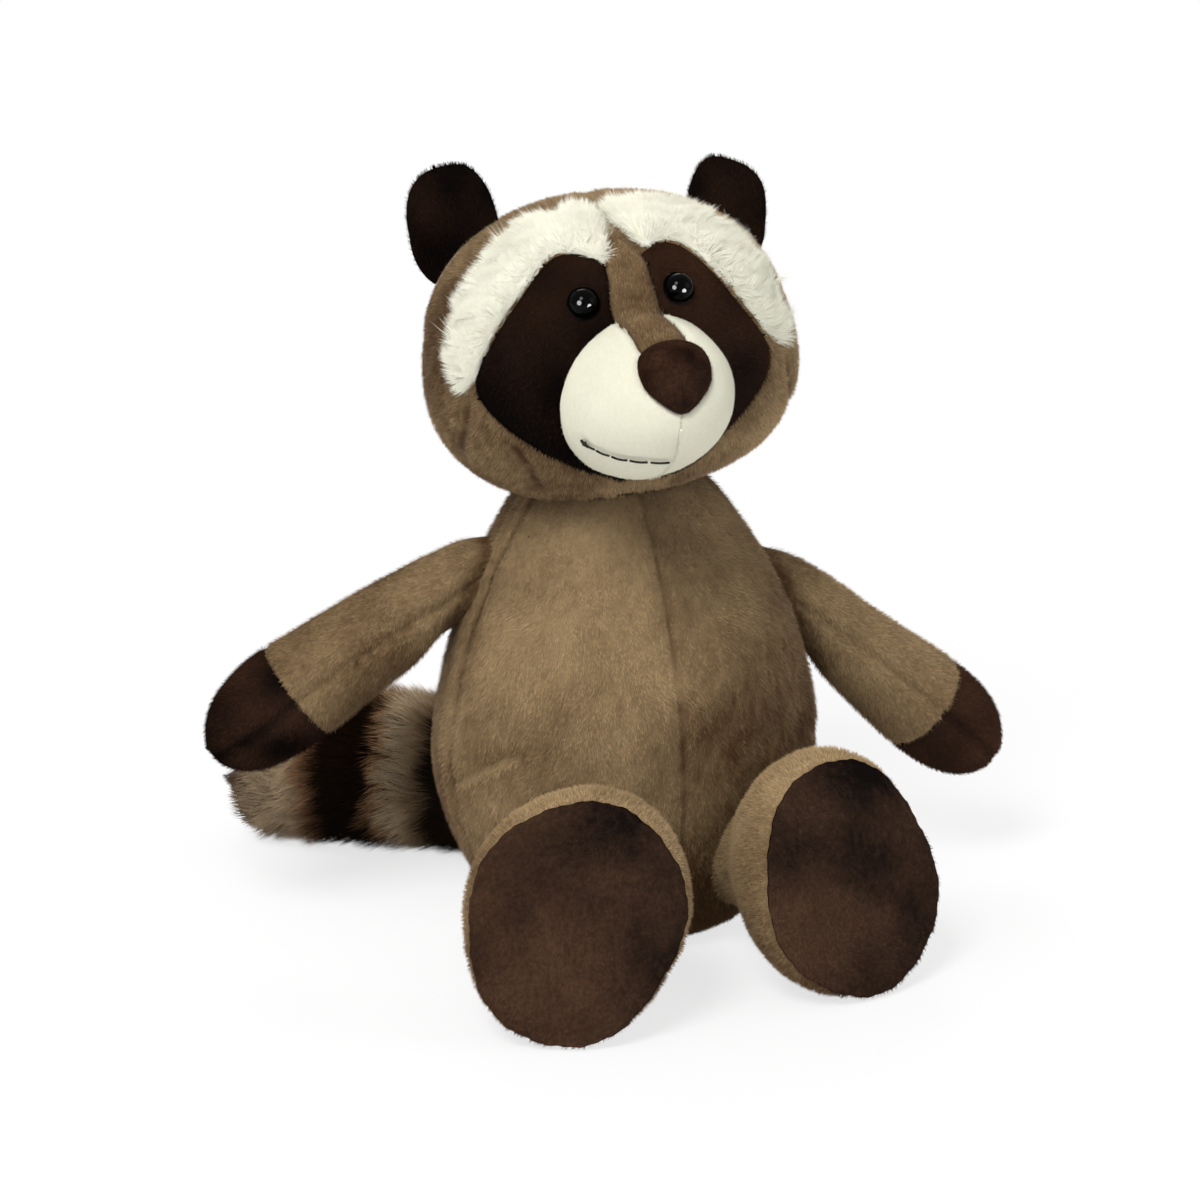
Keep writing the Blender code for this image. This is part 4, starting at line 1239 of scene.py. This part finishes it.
def foot_frame(side):
    place, turn, roll = foot_poses[side]
    tilt = math.radians(foot_tilt)
    yaw = math.radians(turn)
    facing = Vector((math.sin(yaw) * math.cos(tilt), -math.cos(yaw) * math.cos(tilt), math.sin(tilt)))
    across = Vector((math.cos(yaw), math.sin(yaw), 0.0))
    up = across.cross(-facing).normalized()
    spin = Matrix.Rotation(math.radians(-roll), 3, facing)
    centre = Vector((place[0], place[1], foot_half_height * math.cos(tilt) - floor_press))
    return np.array(centre), np.array(facing), np.array(spin @ across), np.array(spin @ up)


def foot_ring(axes, distance, half_width, half_height, turn):
    centre, facing, across, up = axes
    place = centre + facing * distance
    place[2] -= leg_level * min(distance, 0.0) * math.sin(math.radians(foot_tilt))
    return place + across * (half_width * np.sin(turn))[:, None] + up * (half_height * np.cos(turn))[:, None]


def rim_wander(turn, side):
    """How far the sole's seam wanders from a true oval."""
    slow = 0.0006 * np.sin(3.0 * turn + side) + 0.0005 * np.sin(5.0 * turn - 2.0 * side)
    return slow + 0.00018 * np.sin(17.0 * turn) + 0.00015 * np.sin(43.0 * turn + side)


def make_leg(side, name):
    axes = centre, facing, across, up = foot_frame(side)
    turn = around(128)
    backs = np.linspace(0.0, 0.052, 84)
    shares = smooth_path(backs, [back for back, share in leg_profile], [share for back, share in leg_profile])
    rings = []
    for back, share in zip(backs, shares):
        half_width = leg_half_width + (foot_half_width - leg_half_width) * share - limb_fur
        half_height = leg_half_width + (foot_half_height - leg_half_width) * share - limb_fur
        ring = foot_ring(axes, -back, half_width, half_height, turn)
        relief = lumps(ring, (0.0007, 0.020), (0.0002, 0.006), 301)
        relief += rim_wander(turn, side) * math.exp(-back / 0.012) - 0.0010 * valley(back, 0.0020)
        relief -= 0.0011 * valley(turn_from(turn, 180.0) * half_width) * (back > 0.001)
        relief -= valley(back - 0.024, 0.010) * 0.0009 * np.maximum(0.0, np.cos(4.0 * turn + 0.7 * side))
        rings.append(ring + unit(ring - ring.mean(axis=0)) * relief[:, None])
    rings = np.array(rings)
    moved, deep = torso_inside(rings.reshape(-1, 3), limb_sink)
    moved[:, 2] = np.maximum(moved[:, 2], 0.0008)
    skin = grid_skin(moved.reshape(rings.shape))
    rooted = sampled("leg", skin, ~touching(skin, deep, True, True), 310 + int(side))
    from_middle = rooted[0] - centre
    from_sole = -(from_middle @ facing)
    radial = unit(from_middle + from_sole[:, None] * facing)
    rim = np.exp(-np.maximum(from_sole, 0.0) / 0.002)[:, None]
    hang = np.array((0.0, 0.0, -0.3)) + 0.4 * swirl(rooted[0], 0.014, 311)
    comb = -0.9 * facing + 0.6 * rim * radial + (1.0 - 0.8 * rim) * hang
    pile = blades("leg", rooted, comb, np.where(from_sole < 0.0025, 0.0015, open_pile), 314)
    nap = taupe_tone(0.8, 315, 0.08)

    def leg_tone(points):
        # Painted light: the foot grows lighter towards its top; it is also a little lighter on the toy's left
        return nap(points) - 0.12 + 0.05 * side + 0.34 * ((points - centre) @ up / foot_half_height)

    piece(f"leg_{name}", skin, pile, taupe, leg_tone)

    rings = []
    spans = np.concatenate([[0.55, 1.0], 1.0 - np.linspace(0.0, 1.0, 44)[1:-1] ** 1.25])
    oval = sole_share - sole_tuck
    for number, span in enumerate(spans):
        rise = 0.0003 if number < 2 else 0.0006 + (sole_thickness - sole_fur - 0.0006) * (1.0 - span**3.6) ** 0.75
        ring = foot_ring(axes, rise, foot_half_width * oval * span, foot_half_height * oval * span, turn) - 0.0007 * up
        ring += unit(ring - ring.mean(axis=0)) * (rim_wander(turn, side) * span)[:, None]
        relief = lumps(ring, (0.0006, 0.016), (0.0002, 0.005), 321) * (number > 5)
        rings.append(ring + facing * relief[:, None])
    rings = np.array(rings)
    rings[..., 2] = np.maximum(rings[..., 2], 0.0008)
    skin = grid_skin(rings)
    rooted = sampled("sole", skin, face_directions(skin) @ facing > 0.1, 320 + int(side))
    pile = blades("sole", rooted, -up + 0.9 * swirl(rooted[0], 0.013, 323), 0.0015, 326)
    sole_nap = taupe_tone(1.1, 330, -0.20, tuft=0.10)

    def sole_tone(points):
        away = points - centre
        return sole_nap(points) - 0.15 * (away @ across + away @ up) / foot_half_height

    piece(f"sole_{name}", skin, pile, sole_dark, sole_tone)


# Tail


def make_tail():
    route = np.array(tail_route)
    travelled = np.concatenate([[0.0], np.cumsum(np.linalg.norm(np.diff(route[:, :2], axis=0), axis=1))])
    places = np.linspace(0.0, travelled[-1], 80)
    centre = np.stack([smooth_path(places, travelled, values) for values in route.T], axis=1)
    ahead = unit(np.gradient(centre[:, :2], axis=0))
    across = np.stack([ahead[:, 1], -ahead[:, 0], np.zeros(len(ahead))], 1)
    columns = 72
    turn = around(columns)
    half = np.maximum(centre[:, 2] - tail_fur_depth, 0.0012)
    half[-6:] *= np.linspace(1.0, 0.5, 6)
    centre[:, 2] = np.maximum(centre[:, 2], tail_tip_height) - floor_press
    up = np.array((0.0, 0.0, 1.0))
    half = half[:, None]
    rings = centre[:, None] + across[:, None] * (half * np.sin(turn))[..., None] + up * (half * np.cos(turn))[..., None]
    flat = rings.reshape(-1, 3)
    flat = flat + unit(flat - np.repeat(centre, columns, axis=0)) * (0.0008 * smooth_noise(flat, 0.014, 401))[:, None]
    moved, deep = torso_inside(flat, -0.0005)
    moved[:, 2] = np.maximum(moved[:, 2], 0.0015)
    skin = grid_skin(moved.reshape(rings.shape))
    rooted = sampled("tail", skin, ~touching(skin, deep, True, False), 402)
    roots = rooted[0]
    run = np.concatenate([ahead, np.zeros((len(ahead), 1))], 1)
    nearest = np.argmin(np.linalg.norm(roots[:, None, :2] - centre[None, ::2, :2], axis=2), axis=1) * 2
    comb = run[nearest] + 0.6 * swirl(roots, 0.007, 403) + np.array((0.0, 0.0, -0.15))
    length = 0.0086 - 0.0040 * (nearest / len(centre)) ** 4 + 0.0026 * smooth_noise(roots, 0.004, 406)
    pile = blades("tail", rooted, comb, length, 407, spread=15.0, segments=2, droop=26.0, soft=0.75, clump=0.3)

    def along_chunk(points):
        index = np.argmin(np.linalg.norm(points[:, None, :2] - centre[None, :, :2], axis=2), axis=1)
        wobble = lumps(points, (0.016, 0.006), (0.012, 0.0018), 408)
        return np.clip(index / (len(centre) - 1) + wobble, 0.0, 1.0)

    def along(points):
        return np.concatenate([along_chunk(chunk) for chunk in np.array_split(points, 24)])

    piece("tail", skin, pile, tail_fur, even_tone(0.5, 0.35, 0.004, 410), along=along)


def make_torso():
    points, faces, maps = torso_skin()
    moved, deep = out_of_head(points, -0.0012)
    skin = (moved, faces, maps)
    hidden = deep[faces].any(axis=1) | (face_directions(skin)[:, 2] < -0.97)
    rooted = sampled("torso", skin, ~hidden, 501)
    roots = rooted[0]
    comb = np.array((0.0, 0.0, -1.0)) + 0.6 * swirl(roots, 0.020, 502)
    by_seam = (np.abs(roots[:, 0] - torso_middle(roots[:, 2])) < 0.0012) & (roots[:, 1] < 0.0)
    pile = blades("torso", rooted, comb, np.where(by_seam, seam_pile, open_pile), 505)
    nap = taupe_tone(1.1, 506, streak=(1.0, 1.0, 0.3))

    def tone(points):
        across, ahead, up = points.T
        middle = torso_middle(up)
        front = ahead < 0.0
        # The toy's right front panel is lighter and the rest darker: partly the nap's own look, partly painted light
        # from that side
        panels = np.where((across < middle) & front, 0.14, -0.12)
        # Painted shade along the seams
        seam = valley(np.abs(across - middle), 0.0009) + valley(np.abs(ahead + side_seam_forward), 0.0010)
        by_dart = distance_to_lines(points, hip_darts)
        # Painted highlight along each hip dart's ridge, and painted shade in the dip around it
        painted_dart_light_and_shade = valley(by_dart, 0.0014) * (0.45 + 0.3 * smooth_noise(points, 0.0018, 509)) - 0.2 * valley(by_dart, 0.0045)
        # Painted light and shadow: lighter higher up, and a painted shadow low on the front between the feet
        level = 2.0 * (up - 0.065) - 0.5 * front * valley(up, 0.030)
        return nap(points) + panels + level + painted_dart_light_and_shade - 0.40 * seam

    piece("torso", skin, pile, taupe, tone)


# Mouth


def make_mouth():
    """A running stitch in black thread across the muzzle, tied off with a knot."""
    stitches = 5
    step = 16
    marks = np.linspace(0.0, len(mouth_line) - 1.0, stitches * step + 1)
    path = np.stack([smooth_path(marks, np.arange(len(mouth_line)), values) for values in zip(*mouth_line)], 1)
    places = face_points(path)
    outward = head_gradient(places)
    thread = bpy.data.curves.new("mouth_stitch", "CURVE")
    thread.dimensions = "3D"
    thread.bevel_depth = thread_radius
    thread.bevel_resolution = 2
    thread.use_fill_caps = True

    def add_strand(local):
        spline = thread.splines.new("POLY")
        spline.points.add(len(local) - 1)
        for point, place in zip(spline.points, to_world(local)):
            point.co = (*place, 1.0)

    for first in range(0, stitches * step, step):
        index = np.arange(first, first + step - 1)
        height = 0.0004 + 0.0002 * np.sin(np.linspace(0.0, math.pi, step - 1))
        add_strand(places[index] + outward[index] * height[:, None])
    rng = np.random.default_rng(601)
    for _ in range(5):
        heading = unit(rng.normal(0.0, 1.0, (1, 3)))[0]
        heading -= outward[0] * (heading @ outward[0])
        bend = np.arange(6)[:, None]
        add_strand(places[0] + outward[0] * (0.0005 + 0.0003 * np.sin(bend)) + heading * 0.0006 * (bend - 2.5))
    thread.materials.append(moulded("thread_black", (0.006, 0.004, 0.003), (0.020, 0.015, 0.011), 0.95))
    rider("mouth_stitch", thread)


# Stage, light and camera


def camera_only(tree, plain, lit, output, share=None):
    """Shows the plain shader to the camera's rays, all of it or a share, and the lit one to the rest."""
    path = tree.nodes.new("ShaderNodeLightPath")
    both = tree.nodes.new("ShaderNodeMixShader")
    amount = path.outputs["Is Camera Ray"]
    if share is not None:
        product = tree.nodes.new("ShaderNodeMath")
        product.operation = "MULTIPLY"
        tree.links.new(amount, product.inputs[0])
        tree.links.new(share, product.inputs[1])
        amount = product.outputs["Value"]
    tree.links.new(amount, both.inputs["Fac"])
    tree.links.new(lit.outputs[0], both.inputs[1])
    tree.links.new(plain.outputs[0], both.inputs[2])
    tree.links.new(both.outputs["Shader"], tree.nodes[output].inputs["Surface"])


def make_stage():
    white = (1.0, 1.0, 1.0, 1.0)
    size = 3.0
    mesh = bpy.data.meshes.new("floor")
    mesh.from_pydata([(-size, -size, 0.0), (size, -size, 0.0), (size, size, 0.0), (-size, size, 0.0)], [], [(0, 1, 2, 3)])
    material, tree, shader = nodes_of("floor_white")
    set_inputs(shader, Base_Color=(0.88, 0.88, 0.88, 1.0), Roughness=0.9, Specular_IOR_Level=0.0)
    plain = tree.nodes.new("ShaderNodeEmission")
    set_inputs(plain, Color=white, Strength=1.0)
    place = tree.nodes.new("ShaderNodeTexCoord")
    away = tree.nodes.new("ShaderNodeVectorMath")
    away.operation = "LENGTH"
    tree.links.new(place.outputs["Object"], away.inputs[0])
    fade = tree.nodes.new("ShaderNodeMapRange")
    set_inputs(fade, From_Min=0.20, From_Max=0.70, To_Min=0.74, To_Max=1.0)
    tree.links.new(away.outputs["Value"], fade.inputs["Value"])
    camera_only(tree, plain, shader, "Material Output", fade.outputs["Result"])
    mesh.materials.append(material)
    floor = bpy.data.objects.new("floor", mesh)
    bpy.context.scene.collection.objects.link(floor)
    world = bpy.data.worlds.new("studio")
    bpy.context.scene.world = world
    world.use_nodes = True
    tree = world.node_tree
    back = tree.nodes["Background"]
    set_inputs(back, Color=white, Strength=0.55)
    plain = tree.nodes.new("ShaderNodeBackground")
    set_inputs(plain, Color=white, Strength=1.0)
    camera_only(tree, plain, back, "World Output")


def add_lamp(name, place, target_height, size, power, glint=False):
    """A round lamp that faces the toy's middle at a height; a glint lamp shines only in glossy surfaces."""
    data = bpy.data.lights.new(name, "AREA")
    data.shape = "DISK"
    data.size = size
    data.energy = power
    lamp = bpy.data.objects.new(name, data)
    lamp.location = place
    lamp.rotation_euler = (Vector((0.0, 0.0, target_height)) - Vector(place)).to_track_quat("-Z", "Y").to_euler()
    lamp.visible_diffuse = not glint
    lamp.visible_camera = False
    bpy.context.scene.collection.objects.link(lamp)


def make_camera():
    azimuth = math.radians(-20.0)
    elevation = math.radians(16.0)
    level = math.cos(elevation)
    back = Vector((math.sin(azimuth) * level, -math.cos(azimuth) * level, math.sin(elevation)))
    right = Vector((math.cos(azimuth), math.sin(azimuth), 0.0))
    target = right * -0.0080 + back.cross(right) * 0.0925
    data = bpy.data.cameras.new("camera")
    data.sensor_width = 36.0
    data.lens = 112.2
    camera = bpy.data.objects.new("camera", data)
    camera.location = target + back * 1.10
    camera.rotation_euler = (-back).to_track_quat("-Z", "Y").to_euler()
    bpy.context.scene.collection.objects.link(camera)
    bpy.context.scene.camera = camera


make_camera()
make_head()
make_bridge()
for side, name in side_names.items():
    make_muzzle(side, name)
    make_mask(side, name)
    make_brow(side, name)
    make_eye(side, name)
    make_ear(side, name)
make_nose()
make_torso()
for side, name in side_names.items():
    make_arm(side, name)
    make_leg(side, name)
make_tail()
make_mouth()

plastic = moulded("washer_plastic", (0.68, 0.68, 0.66), (0.78, 0.78, 0.76), 0.45)
for name in side_names.values():
    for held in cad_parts[f"eye_washer_{name}"].material_slots:
        held.material = plastic

make_stage()
add_lamp("key", (-0.86, -0.98, 1.48), 0.10, 0.7, 28.0)
add_lamp("fill", (1.1, -0.9, 0.7), 0.10, 0.9, 2.5)
add_lamp("back", (0.2, 1.2, 1.2), 0.12, 0.8, 6.0)
add_lamp("left_glint", (-0.632, -0.530, 0.376), 0.17, 0.46, 48.0, glint=True)
add_lamp("front_glint", (0.203, -0.557, 0.090), 0.17, 0.30, 34.0, glint=True)

bpy.context.scene.view_settings.view_transform = "Standard"
